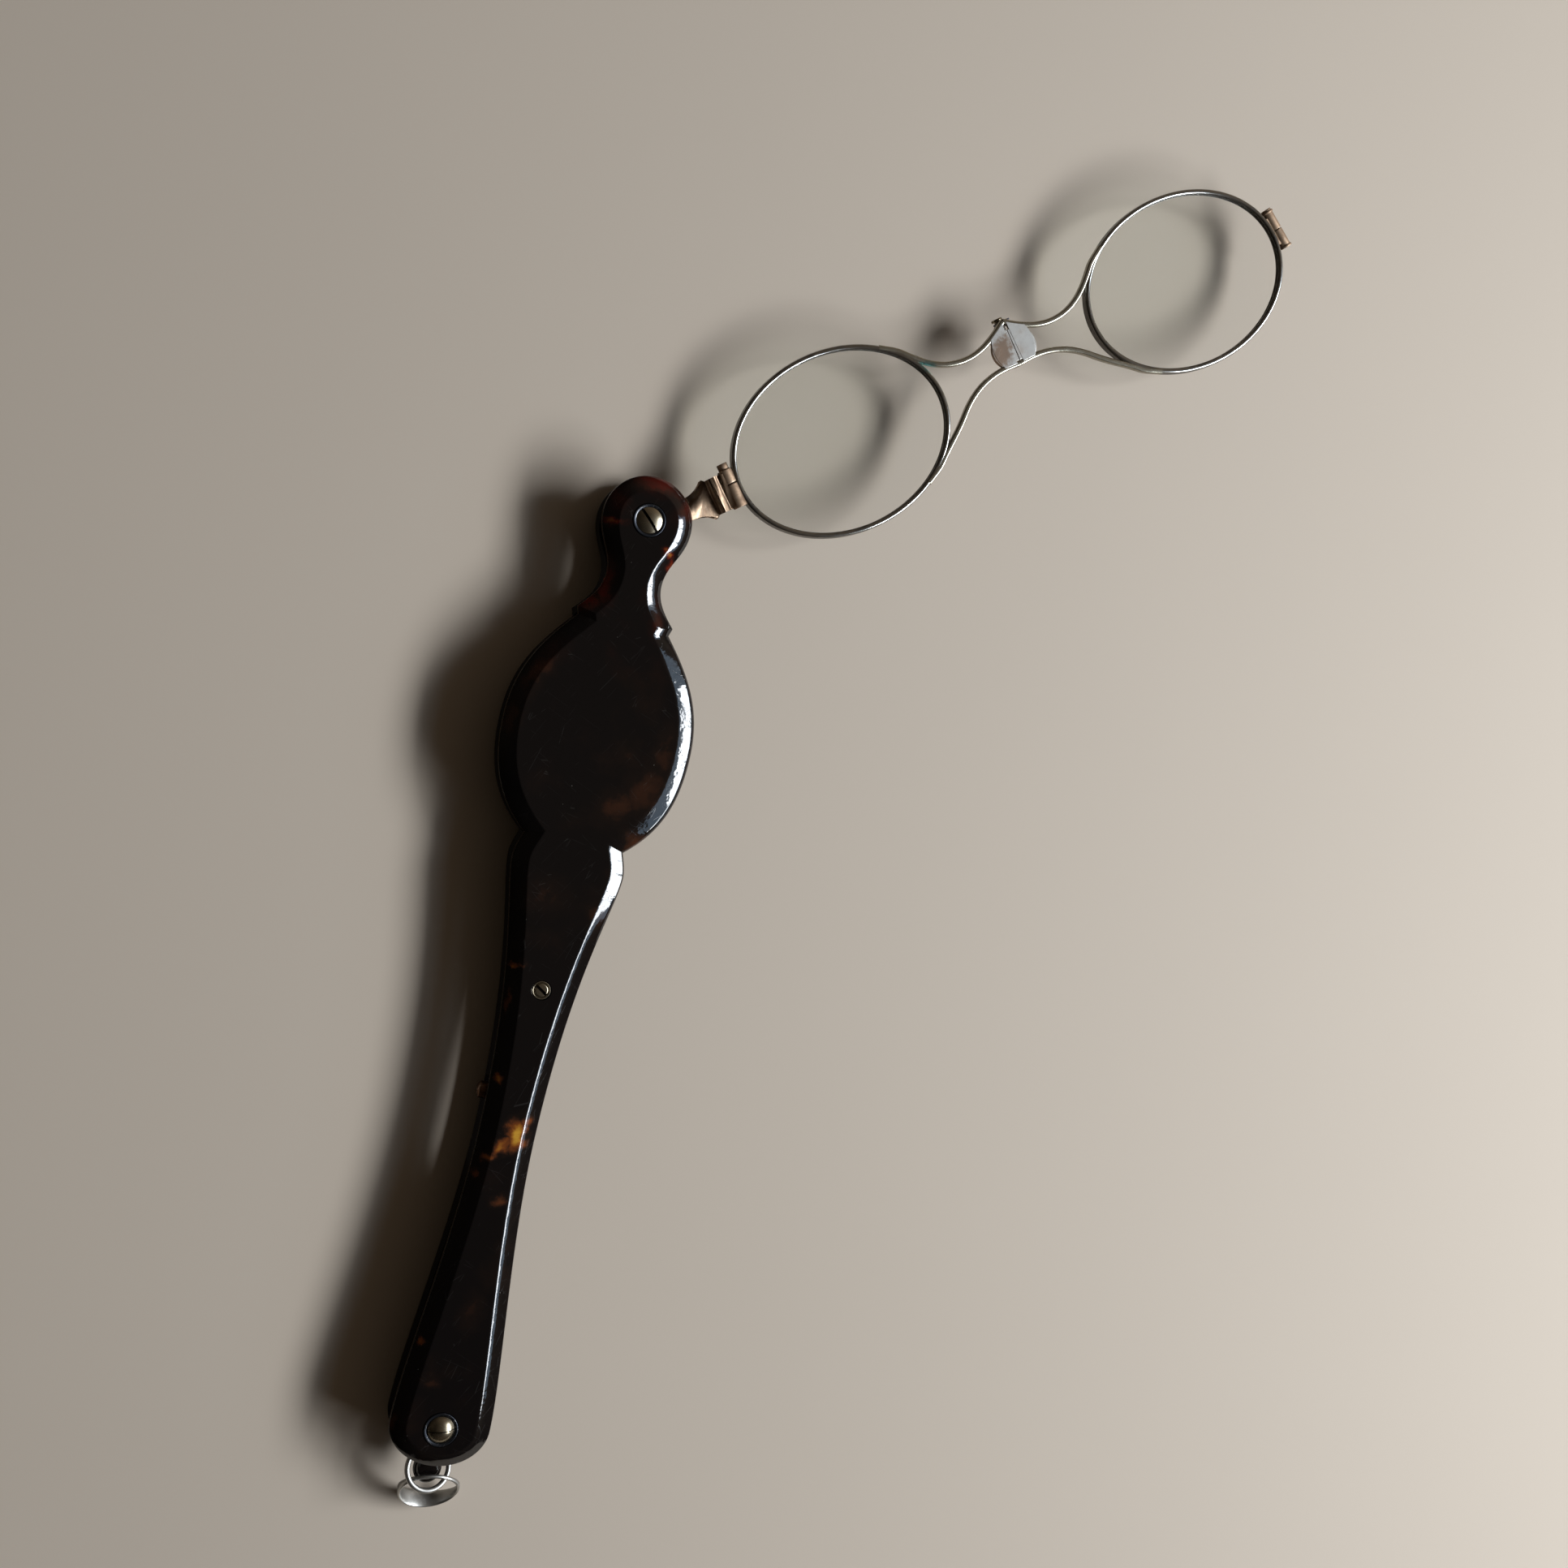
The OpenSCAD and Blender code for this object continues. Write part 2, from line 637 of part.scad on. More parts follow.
module near_closing_screw() {
    top = bead_hl - stem_drop;
    color(brass_colour) swung() translate([bead2_x, 0, rim_z])
    difference() {
        union() {
            cross_rod(closing_r, -stem_drop - bead_hl + 0.8, top + over / 2);
            cross_rod(closing_head_r, top, top + closing_head_l);
        }
        translate([-closing_head_r - over, top + closing_head_l - slot_depth, -slot_w / 3])
            cube([2 * (closing_head_r + over), slot_depth + over, slot_w / 1.5]);
    }
}
module near_lens() { color(glass_colour) swung() at_near() glass(); }
module far_lens() { color(glass_colour) swung() at_far() glass(); }

// Closing lugs on the far eyewire, laid along the rim
lug_off = 1.15;
lug_web_h = 0.9;
lug_web_hl = 2.2;
far_lug_x = far_x + oval_rx + lug_off;
flange_t = 0.3;
flange_r = 0.95;
module at_far_lug() { translate([far_lug_x, 0, rim_z]) rotate([0, 0, far_lug_tilt]) children(); }
module far_rim() {
    color(nickel_colour) swung()
    difference() {
        union() {
            at_far() rim_ring();
            difference() {
                at_far_lug() {
                    cross_rod(far_lug_r, -far_lug_hl, far_lug_hl);
                    cross_rod(flange_r, -far_lug_hl, -far_lug_hl + flange_t);
                    cross_rod(flange_r, far_lug_hl - flange_t, far_lug_hl);
                    translate([-lug_off - rim_w, -lug_web_hl, -lug_web_h / 2])
                        cube([lug_off + rim_w, 2 * lug_web_hl, lug_web_h]);
                }
                at_far() oval_slab(rim_w / 2, rim_z0 - over, rim_z0 + rim_h + over);
            }
        }
        at_far_lug() {
            translate([-lug_off - 2 * rim_w, -split_w / 2, -rim_h])
                cube([lug_off + 2 * rim_w + far_lug_r + over, split_w, 2 * rim_h]);
            cross_rod(closing_r + closing_fit, -far_lug_hl + 0.6, far_lug_hl + over);
        }
    }
}
module far_closing_screw() {
    color(brass_colour) swung() at_far_lug()
    difference() {
        union() {
            cross_rod(closing_r, -far_lug_hl + 0.8, far_lug_hl + 0.1);
            cross_rod(closing_head_r, far_lug_hl, far_lug_hl + flange_t);
        }
        translate([-closing_head_r - over, far_lug_hl + flange_t / 2, -slot_w / 3])
            cube([2 * (closing_head_r + over), over, slot_w / 1.5]);
    }
}

// Stem: hub, arm, pointed shoulders and the first bead
arm_start = hub_r * 0.6;
shoulder_x = bead1_x - bead_r - 0.35;
arm_side = [
    smooth([arm_start, arm_hw], 0, 0, 1),
    smooth([shoulder_x - 3.6, arm_hw], 0, 1, 1.6),
    anchor([shoulder_x, stem_shoulder_hw], 48, -35, 1.2, 0.3),
    anchor([bead1_x - bead_r + 0.3, bead_hl - 0.45], -35, 20, 0.3, 0.3)
];
arm_edge = concat(chain(arm_side, [1, 8, 1]), [arm_side[3][0]]);
module stem() {
    color(brass_colour)
    difference() {
        union() {
            disc(hub_r, hub_z0, hub_z1);
            stop_tab();
            swung() translate([0, -stem_drop, 0]) {
                translate([0, 0, hub_z0]) linear_extrude(stem_t)
                    polygon(concat(arm_edge, [for (p = reversed(arm_edge)) [p[0], -p[1]]]));
                first_bead();
            }
        }
        disc(barrel_r + run_fit, hub_z0 - over, hub_z1 + over);
        swung() translate([bead2_x, -stem_drop, rim_z])
            cross_rod(bead_r + face_fit, -bead_hl - over, bead_hl + over);
    }
}

// Rounded bead with a flat underside, tied to the second bead by a low web
web_h = 0.9;
bead_lift = 0.85;
module first_bead() {
    z0 = hub_z0 + bead_lift;
    intersection() {
        union() {
            translate([bead1_x, 0, rim_z]) cross_rod(bead_r, -bead_hl + 0.25, bead_hl - 0.25);
            translate([bead1_x - bead_r, -bead_hl + 0.25, z0])
                cube([2 * bead_r, 2 * bead_hl - 0.5, rim_z - z0]);
            translate([bead1_x, -bead_hl + 0.4, rim_z - web_h])
                cube([bead2_x - bead1_x, 2 * bead_hl - 0.8, 2 * web_h]);
        }
        translate([bead1_x - bead_r, -bead_hl, z0])
            cube([bead2_x - bead1_x + bead_r, 2 * bead_hl, total_t]);
    }
}

// Tab on the hub that meets the stop pin when the glasses are swung out
tab_w = 2.0;
tab_r = stop_reach + stop_pin_r;
module stop_tab() {
    intersection() {
        disc(tab_r, hub_z0, hub_z1);
        rotate([0, 0, stop_turn])
            translate([0, -stop_pin_r - face_fit - tab_w, hub_z0])
                cube([tab_r + over, tab_w, stem_t]);
    }
}

// Bow wires of the near half, each from the rim to the hinge seam
seam_gap = 0.03;
upper_join = 36;
lower_join = -42;
join_run = 14;
join_sink = 0.3;
bow_z0 = rim_z0 + rim_h - bow_h - 0.1;
bow_z1 = bow_z0 + bow_h;
bow_end_x = seam_x - seam_gap;
function on_rim(turn, sink) =
    [near_x + (oval_rx - sink) * cos(turn), -oval_drop + (oval_ry - sink) * sin(turn)];
function rim_heading(turn) = atan2(oval_ry * cos(turn), -oval_rx * sin(turn));
upper_bow_path = [
    smooth(on_rim(upper_join + join_run, join_sink), rim_heading(upper_join + join_run) - 180, 0, 1.3),
    smooth(on_rim(upper_join, 0), rim_heading(upper_join) - 180, 1.3, 3.4),
    smooth([seam_x - 7.5, bow_low], 0, 4.0, 3.0),
    smooth([bow_end_x, bow_top], 33, 2.2, 0)
];
lower_bow_path = [
    smooth(on_rim(lower_join - join_run, join_sink), rim_heading(lower_join - join_run), 0, 1.3),
    smooth(on_rim(lower_join, 0), rim_heading(lower_join), 1.3, 2.5),
    smooth([near_x + oval_rx + 1.8, -oval_drop - 4.0], 42, 3.4, 2.6),
    smooth([seam_x - 4.1, -bow_base], 8, 3.0, 1.3),
    smooth([bow_end_x, -bow_base], -4, 1.3, 0)
];
upper_bow_line = concat(chain(upper_bow_path, [4, 10, 8]), [upper_bow_path[3][0]]);
lower_bow_line = concat(chain(lower_bow_path, [4, 7, 7, 3]), [lower_bow_path[4][0]]);

// Bow solid of either half, cut back where it meets the rim and the seam
module bow(line, is_far) {
    points = is_far ? mirrored_at(line, seam_x) : line;
    difference() {
        translate([0, 0, bow_z0]) linear_extrude(bow_h) polygon(band(points, bow_w));
        translate([is_far ? far_x : near_x, -oval_drop, 0])
            oval_slab(0, bow_z0 - over, bow_z1 + over);
        seam_cut(is_far);
    }
}
module seam_cut(is_far) {
    w = 2;
    x0 = is_far ? seam_x - w + seam_gap : seam_x - seam_gap;
    translate([x0, -2 * bow_top, 0]) cube([w, 4 * bow_top, total_t]);
}
module near_upper_bow() { color(nickel_colour) swung() bow(upper_bow_line, false); }
module near_lower_bow() { color(nickel_colour) swung() bow(lower_bow_line, false); }
module far_upper_bow() { color(nickel_colour) swung() bow(upper_bow_line, true); }
module far_lower_bow() { color(nickel_colour) swung() bow(lower_bow_line, true); }

// Hinge plates, filling the space between the bows beside the seam
plate_z0 = bow_z1 - plate_t;
plate_arc_r = 2.9;
plate_mid = (bow_top - bow_base) / 2 - 0.9;
module plate_blank(is_far) {
    side = is_far ? 1 : -1;
    intersection() {
        difference() {
            translate([seam_x + side * (plate_l - plate_arc_r), plate_mid, plate_z0])
                cylinder(r = plate_arc_r, h = plate_t, $fn = 96);
            bow(upper_bow_line, is_far);
            bow(lower_bow_line, is_far);
            seam_cut(is_far);
        }
        translate([0, 0, plate_z0 - over]) linear_extrude(plate_t + 2 * over) polygon(between_bows(is_far));
    }
}
function between_bows(is_far) =
    let (p = concat(upper_bow_line, reversed(lower_bow_line)))
    is_far ? mirrored_at(p, seam_x) : p;

// Knuckles under the plates, on the pin at the level of the fold
near_knuckles = [[-1.4, -0.45], [1.85, 3.0]];
far_knuckles = [[-0.4, 1.8]];
module knuckles(spans, is_far) {
    for (s = spans) {
        translate([seam_x, 0, mid_z]) cross_rod(knuckle_r, s[0], s[1]);
        translate([is_far ? seam_x + seam_gap : seam_x - knuckle_r, s[0], mid_z])
            cube([knuckle_r - seam_gap, s[1] - s[0], plate_z0 - mid_z]);
    }
}
module hinge_half(spans, is_far) {
    difference() {
        union() {
            plate_blank(is_far);
            difference() {
                knuckles(spans, is_far);
                bow(upper_bow_line, is_far);
                bow(lower_bow_line, is_far);
            }
        }
        translate([seam_x, 0, mid_z]) cross_rod(pin_r + run_fit, -2 * bow_top, 2 * bow_top);
    }
}
module near_plate() { color(nickel_colour) swung() hinge_half(near_knuckles, false); }
module far_plate() { color(nickel_colour) swung() hinge_half(far_knuckles, true); }

// Hinge pin with a foot below the knuckles and a head past the spring
pin_low = near_knuckles[0][0] - 0.9;
coil_y = near_knuckles[1][1] + 0.12;
pin_head_y = coil_y + coil_l + 0.15;
pin_head_r = 0.85;
pin_head_l = 0.4;
module hinge_pin() {
    color(steel_colour) swung() translate([seam_x, 0, mid_z]) {
        cross_rod(pin_r, pin_low, pin_head_y);
        cross_rod(pin_head_r, pin_head_y, pin_head_y + pin_head_l);
    }
}

// Wound spring round the pin, one tube with a straight leg at each end
coil_fit = 0.07;
coil_r = pin_r + coil_fit + coil_wire / 2;
coil_leg = 1.6;
rings_per_turn = 8;
wire_sides = 6;
coil_rings = coil_turns * rings_per_turn;
coil_pitch = (coil_l - coil_wire) / coil_turns;
function coil_point(i) =
    let (a = 360 * i / rings_per_turn)
    [coil_r * sin(a), coil_wire / 2 + coil_pitch * i / rings_per_turn, coil_r * cos(a)];
coil_line = concat(
    [[-coil_leg, coil_wire / 2, coil_r]],
    [for (i = [0:coil_rings]) coil_point(i)],
    [[coil_leg, coil_l - coil_wire / 2, coil_r]]
);
function unit(v) = v / norm(v);
function tangent(p, i) = unit(p[min(i + 1, len(p) - 1)] - p[max(i - 1, 0)]);
function wire_ring(p, i, r, axis) =
    let (
        t = tangent(p, i),
        u = unit(axis - (axis * t) * t),
        v = cross(t, u)
    )
    [for (k = [0:wire_sides - 1])
        p[i] + r * (cos(360 * k / wire_sides) * u + sin(360 * k / wire_sides) * v)];
module wire_tube(p, r, axis) {
    n = wire_sides;
    last = len(p) - 1;
    points = [for (i = [0:last]) each wire_ring(p, i, r, axis)];
    walls = [
        for (i = [0:last - 1], k = [0:n - 1])
            let (a = i * n + k, b = i * n + (k + 1) % n)
            each [[a, a + n, b + n], [a, b + n, b]]
    ];
    cap0 = [for (k = [1:n - 2]) [0, k, k + 1]];
    cap1 = [for (k = [1:n - 2]) [last * n, last * n + k + 1, last * n + k]];
    polyhedron(points, concat(walls, cap0, cap1));
}
module hinge_spring() {
    color(spring_colour) swung() translate([seam_x, coil_y, mid_z])
        wire_tube(coil_line, coil_wire / 2, [0, 1, 0]);
}
echo(least_gap_between_turns = coil_pitch - coil_wire);

// Jump ring through the tongue, its far side propped up by the chain ring
jump_lift = 19.4;
jump_roll = 12;
module jump_ring() {
    color(nickel_colour)
    translate([0, -ring_hole_y, mid_z]) rotate([-jump_lift, 0, 0]) rotate([0, jump_roll, 0])
        translate([0, -jump_r, 0])
            rotate_extrude($fn = 96) translate([jump_r, 0]) circle(r = jump_wire / 2, $fn = 32);
}

// Chain ring threaded on the jump ring, its broad side resting low
chain_centre = [1.0, -ball_y - 3.45, 3.85];
chain_tilt = 45.3;
chain_turn = 8.2;
chain_broad = -106;
chain_steps = 40;
chain_sides = 10;
band_t = 0.6;
function chain_width(a) =
    chain_thin + (chain_wide - chain_thin) * pow((1 + cos(a - chain_broad)) / 2, 1.5);
function chain_section(a) = [
    for (k = [0:chain_sides - 1])
        let (
            b = 360 * k / chain_sides,
            r = chain_r + band_t / 2 * cos(b),
            z = chain_width(a) / 2 * sin(b)
        )
        [r * cos(a), r * sin(a), z]
];
module chain_ring() {
    n = chain_sides;
    points = [for (i = [0:chain_steps - 1]) each chain_section(360 * i / chain_steps)];
    faces = [
        for (i = [0:chain_steps - 1], k = [0:n - 1])
            let (
                i2 = (i + 1) % chain_steps,
                k2 = (k + 1) % n,
                a = i * n + k,
                b = i * n + k2,
                c = i2 * n + k2,
                d = i2 * n + k
            )
            each [[a, b, c], [a, c, d]]
    ];
    color(nickel_colour) translate(chain_centre) rotate([chain_tilt, 0, chain_turn])
        polyhedron(points, faces);
}

upper_scale();
lower_scale();
tail_spacer();
pivot_screw();
pivot_cup();
pivot_barrel();
upper_washer();
lower_washer();
tension_washer();
stop_pin();
middle_screw();
middle_sleeve();
middle_nut();
tail_screw();
tail_cup();
tail_nut();
release_lever();
side_button();
lever_pin();
lever_spring();
stem();
near_rim();
near_lens();
near_closing_screw();
near_upper_bow();
near_lower_bow();
near_plate();
hinge_pin();
hinge_spring();
far_plate();
far_upper_bow();
far_lower_bow();
far_rim();
far_lens();
far_closing_screw();
jump_ring();
chain_ring();
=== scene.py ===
"""Folding lorgnette with a case handle: finer forms and finishes over its CAD frame."""

import json
import math
from math import cos, pi, radians, sin

import bmesh
import bpy
from mathutils import Matrix, Vector

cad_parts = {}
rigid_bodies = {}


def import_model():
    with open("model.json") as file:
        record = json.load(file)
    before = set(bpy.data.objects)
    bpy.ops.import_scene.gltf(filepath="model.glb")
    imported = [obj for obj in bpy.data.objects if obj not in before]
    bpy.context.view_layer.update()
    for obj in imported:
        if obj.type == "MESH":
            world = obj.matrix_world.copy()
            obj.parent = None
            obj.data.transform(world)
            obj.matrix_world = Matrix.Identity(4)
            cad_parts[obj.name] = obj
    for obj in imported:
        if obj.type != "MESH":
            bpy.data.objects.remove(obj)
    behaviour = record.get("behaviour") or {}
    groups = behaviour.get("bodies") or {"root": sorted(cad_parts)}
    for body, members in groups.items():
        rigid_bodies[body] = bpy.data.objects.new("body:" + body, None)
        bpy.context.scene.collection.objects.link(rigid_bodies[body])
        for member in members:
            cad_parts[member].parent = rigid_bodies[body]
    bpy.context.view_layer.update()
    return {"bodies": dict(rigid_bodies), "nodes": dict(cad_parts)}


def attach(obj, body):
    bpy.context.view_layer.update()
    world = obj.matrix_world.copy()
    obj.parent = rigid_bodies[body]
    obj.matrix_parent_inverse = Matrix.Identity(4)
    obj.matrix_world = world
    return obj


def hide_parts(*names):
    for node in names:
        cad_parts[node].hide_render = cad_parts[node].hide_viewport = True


bl_info = {
    "name": "Lorgnette",
    "version": (1, 0, 0),
    "blender": (4, 5, 0),
    "location": "View3D > Sidebar > Lorgnette",
    "description": "Builds the handle, glasses, hinge, screws and rings of a folding lorgnette",
    "category": "Object",
}

MM = 0.001
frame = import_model()
NODES = frame["nodes"]

# Places and sizes in mm. Most are the CAD source's. The ovals of the eyewires, the two large screw heads
# with their collars, and the slots of the screws follow the real object more closely than the solids do.

TOTAL_T, MID_Z, SCALE_T = 9.6, 4.8, 2.3
UPPER_Z = TOTAL_T - SCALE_T
BEVEL_W, EDGE_T, CROWN = 2.3, 0.8, 0.24
KNOB_R = 6.4
TAIL_HW, TAIL_Y, TAIL_END = 7.0, 129.0, 5.7
SHANK_R, SHANK_L, SEAT_FIT = 0.75, 5.0, 0.03
BARREL_R, SLEEVE_R = 1.3, 1.05
PIVOT_HEAD_R, MIDDLE_HEAD_R, TAIL_HEAD_R = 1.82, 1.3, 1.86
CUP_RIM, CUP_SINK, CUP_FLOOR, CUP_PROUD = 0.42, 0.55, 0.25, 0.12
PIVOT_CUP_R, TAIL_CUP_R = 1.9 + CUP_RIM, 1.95 + CUP_RIM
NUT_HEAD_R, NUT_HEAD_T = 2.3, 0.8
MIDDLE_Y, MIDDLE_SINK = 67.0, 0.75
LEVER_PIN_X, LEVER_PIN_Y = -0.9, -108.0
STOP_HEADING, STOP_REACH = 205, 4.5
OPEN_ANGLE = 39.1
NEAR_X, HALF_BRIDGE, OVAL_DROP = 31.6, 30.3, 1.3
SEAM_X, FAR_X = NEAR_X + HALF_BRIDGE, NEAR_X + 2 * HALF_BRIDGE
OVAL_RX, OVAL_RY, LUG_RX = 17.3, 13.25, 16.9
RIM_Z, BOW_Z = 5.9, 5.7
SWUNG = Matrix.Rotation(radians(OPEN_ANGLE), 4, "Z")
# Slot of each case screw: y, half its length, its width and its heading
SLOTS = ((0.0, 2.9, 0.40, -44.0), (-MIDDLE_Y, 0.92, 0.40, -33.0), (-TAIL_Y, 2.9, 0.13, 13.0))
# Points of a mesh that lie this close, in metres, are one point
SAME_PLACE = 1e-7
# A profile's point that lies this close to the axis, in mm, is on it
ON_AXIS = 1e-6


# Sizes that a user may change

class LorgnetteHandle(bpy.types.PropertyGroup):
    """Sizes of the shell case"""

    bevel: bpy.props.FloatProperty(
        name="Bevel", description="Width of the bevel round each scale, in mm",
        default=BEVEL_W, min=1.8, max=2.6)
    crown: bpy.props.FloatProperty(
        name="Bevel crown", description="How far the bevel bulges, in mm",
        default=CROWN, min=0.0, max=0.3)
    arris: bpy.props.FloatProperty(
        name="Arris", description="Softness of the scale's edges, in mm",
        default=0.16, min=0.05, max=0.3)
    scale_t: bpy.props.FloatProperty(
        name="Scale thickness", description="Thickness of one scale, in mm",
        default=SCALE_T, min=2.0, max=3.0)
    edge_t: bpy.props.FloatProperty(
        name="Edge height", description="Height of a scale's upright edge, in mm",
        default=EDGE_T, min=0.5, max=1.2)


class LorgnetteGlasses(bpy.types.PropertyGroup):
    """Sizes of the eyewires, bows and glass"""

    rim_width: bpy.props.FloatProperty(
        name="Eyewire width", description="Width of an eyewire from the front, in mm", default=0.82)
    rim_depth: bpy.props.FloatProperty(
        name="Eyewire depth", description="Depth of an eyewire, in mm", default=1.65)
    rim_round: bpy.props.FloatProperty(
        name="Eyewire rounding", description="Radius along an eyewire's edges, in mm", default=0.36)
    bow_width: bpy.props.FloatProperty(
        name="Bow width", description="Width of a bow wire, in mm", default=0.85)
    bow_depth: bpy.props.FloatProperty(
        name="Bow depth", description="Depth of a bow wire, in mm", default=1.05)
    bow_round: bpy.props.FloatProperty(
        name="Bow rounding", description="Radius along a bow's edges, in mm", default=0.3)
    lens_crown: bpy.props.FloatProperty(
        name="Lens crown", description="Bulge of each glass face, in mm", default=0.2464)


class LorgnetteFinish(bpy.types.PropertyGroup):
    """Colours and wear"""

    shell_dark: bpy.props.FloatVectorProperty(
        name="Dark shell", description="Colour of the shell's dark ground", subtype="COLOR",
        size=4, default=(0.0045, 0.0035, 0.0035, 1.0))
    shell_red: bpy.props.FloatVectorProperty(
        name="Red shell", description="Colour where the shell turns red", subtype="COLOR",
        size=4, default=(0.075, 0.006, 0.0035, 1.0))
    shell_brown: bpy.props.FloatVectorProperty(
        name="Brown shell", description="Colour where the shell turns brown", subtype="COLOR",
        size=4, default=(0.085, 0.025, 0.009, 1.0))
    shell_amber: bpy.props.FloatVectorProperty(
        name="Amber shell", description="Colour of the clearest shell", subtype="COLOR",
        size=4, default=(0.58, 0.30, 0.035, 1.0))
    nickel: bpy.props.FloatVectorProperty(
        name="Nickel", description="Colour of the eyewires' metal", subtype="COLOR",
        size=4, default=(0.54, 0.53, 0.50, 1.0))
    brass: bpy.props.FloatVectorProperty(
        name="Brass", description="Colour of the stem's metal", subtype="COLOR",
        size=4, default=(0.56, 0.40, 0.275, 1.0))
    steel: bpy.props.FloatVectorProperty(
        name="Steel", description="Colour of the screws", subtype="COLOR",
        size=4, default=(0.46, 0.40, 0.29, 1.0))
    # This colour serves both the eyewires' tarnished patches and the painted shade down their sides
    tarnish_and_shade: bpy.props.FloatVectorProperty(
        name="Tarnish", description="Colour of tarnish in the metal", subtype="COLOR",
        size=4, default=(0.035, 0.026, 0.020, 1.0))


class LorgnetteStage(bpy.types.PropertyGroup):
    """Floor and light"""

    floor: bpy.props.FloatVectorProperty(
        name="Floor", description="Colour of the floor", subtype="COLOR",
        size=4, default=(0.58, 0.495, 0.405, 1.0))
    window: bpy.props.FloatProperty(
        name="Window light", description="Power of the window's three panes", subtype="POWER",
        unit="POWER", default=5.7, min=0.0)
    glow: bpy.props.FloatProperty(
        name="Window border", description="Power of the dim border round the window", subtype="POWER",
        unit="POWER", default=1.6, min=0.0)
    sky: bpy.props.FloatProperty(
        name="Room light", description="Strength of the room's warm light", default=0.37, min=0.0)


# Curves shared by several pieces

def toward(heading, length):
    """Vector of a length along a heading in degrees."""
    return Vector((cos(radians(heading)), sin(radians(heading)))) * length


def corner(point, h_in, h_out, in_l, out_l):
    """Anchor of a curve: its place, the headings in and out of it, and how far each one pulls."""
    return (Vector(point), h_in, h_out, in_l, out_l)


def smooth(point, heading, in_l, out_l):
    """Anchor that the curve passes without a corner."""
    return corner(point, heading, heading, in_l, out_l)


def moved(a, d):
    """Place of an anchor set in by d, with a mitre at a corner."""
    return a[0] + toward((a[1] + a[2]) / 2 - 90, d / cos(radians((a[2] - a[1]) / 2)))


def stretch(a, b, n, d=0.0):
    """Points of the curve from anchor a up to anchor b, set in by d."""
    pa, pb = moved(a, d), moved(b, d)
    k = (pb - pa).length / (b[0] - a[0]).length
    p = (pa, pa + toward(a[2], k * a[4]), pb - toward(b[1], k * b[3]), pb)
    out = []
    for i in range(n):
        t = i / n
        s = 1 - t
        out.append(s ** 3 * p[0] + 3 * t * s * s * p[1] + 3 * t * t * s * p[2] + t ** 3 * p[3])
    return out


def chain(anchors, counts, d=0.0):
    """Points of the curves through all anchors, the last anchor left out."""
    out = []
    for a, b, n in zip(anchors, anchors[1:], counts):
        out += stretch(a, b, n, d)
    return out


def whole_line(anchors, counts):
    """Points of the curves through all anchors, the last one too."""
    return chain(anchors, counts) + [anchors[-1][0]]


# Pull of a quarter circle's anchors, as a share of its radius
ROUND_END = 0.552
# Right side of the handle, from the top of the knob to the tail
HANDLE_SIDE = [
    smooth((0, KNOB_R), 0, 0, ROUND_END * KNOB_R),
    smooth((KNOB_R, 0), -90, ROUND_END * KNOB_R, 3.6),
    smooth((4.0, -8.3), -90, 3.2, 2.2),
    corner((6.9, -13.8), -47, -105, 2.4, 1.1 / 3),
    corner((6.55, -14.9), -105, -50, 1.1 / 3, 6.2),
    smooth((13.45, -31.0), -90, 7.2, 6.6),
    corner((7.1, -46.1), -140, -72, 6.0, 1.3),
    smooth((7.95, -49.6), -90, 1.2, 4.2),
    smooth((3.95, -88.0), -90, 24, 15),
    smooth((TAIL_HW, -TAIL_Y), -90, 8, ROUND_END * TAIL_END),
    smooth((0, -TAIL_Y - TAIL_END), -180, ROUND_END * TAIL_HW, 0),
]
SIDE_COUNTS = [22, 18, 16, 4, 26, 26, 8, 34, 26, 22]


def handle_outline(d=0.0):
    """Outline of the handle, anticlockwise from the top of the knob, set in by d."""
    right = chain(HANDLE_SIDE, SIDE_COUNTS, d)
    left = [Vector((-p.x, p.y)) for p in right[1:]]
    return [right[0]] + left + [moved(HANDLE_SIDE[-1], d)] + right[:0:-1]


def swung(x, y, z=0.0):
    """Point of the glasses' own frame, in mm, as a point of the row frame."""
    return SWUNG @ Vector((x, y, z))


# Making and placing pieces

def body_of(node):
    """Name of the moving body that a CAD node rides on."""
    for name, empty in frame["bodies"].items():
        if NODES[node].parent == empty:
            return name
    raise RuntimeError(f"{node} rides on no body")


def link(name, mesh):
    obj = bpy.data.objects.new(name, mesh)
    bpy.context.scene.collection.objects.link(obj)
    return obj


def mesh_from(name, points, faces, edges=()):
    """Mesh from points given in mm."""
    mesh = bpy.data.meshes.new(name)
    mesh.from_pydata([Vector(p).to_3d() * MM for p in points], list(edges), list(faces))
    return mesh


def shade(mesh, angle):
    """Smooth shading, with the edges past this angle in degrees left sharp."""
    mesh.shade_smooth()
    mesh.set_sharp_from_angle(angle=radians(angle))


def close_up(mesh):
    """Doubles merged and every face turned outward."""
    bm = bmesh.new()
    bm.from_mesh(mesh)
    bmesh.ops.remove_doubles(bm, verts=bm.verts, dist=SAME_PLACE)
    bmesh.ops.recalc_face_normals(bm, faces=bm.faces)
    bm.to_mesh(mesh)
    bm.free()


def baked(obj):
    """The object with its modifiers applied to its mesh."""
    graph = bpy.context.evaluated_depsgraph_get()
    graph.update()
    mesh = bpy.data.meshes.new_from_object(
        obj.evaluated_get(graph), preserve_all_data_layers=True, depsgraph=graph)
    old = obj.data
    obj.modifiers.clear()
    obj.data = mesh
    bpy.data.meshes.remove(old)
    return obj


def finish_piece(obj, node, material=None):
    """The piece stands for its CAD node and rides where the node rides."""
    if material:
        obj.data.materials.clear()
        obj.data.materials.append(material)
    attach(obj, body_of(node))
    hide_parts(node)
    return obj


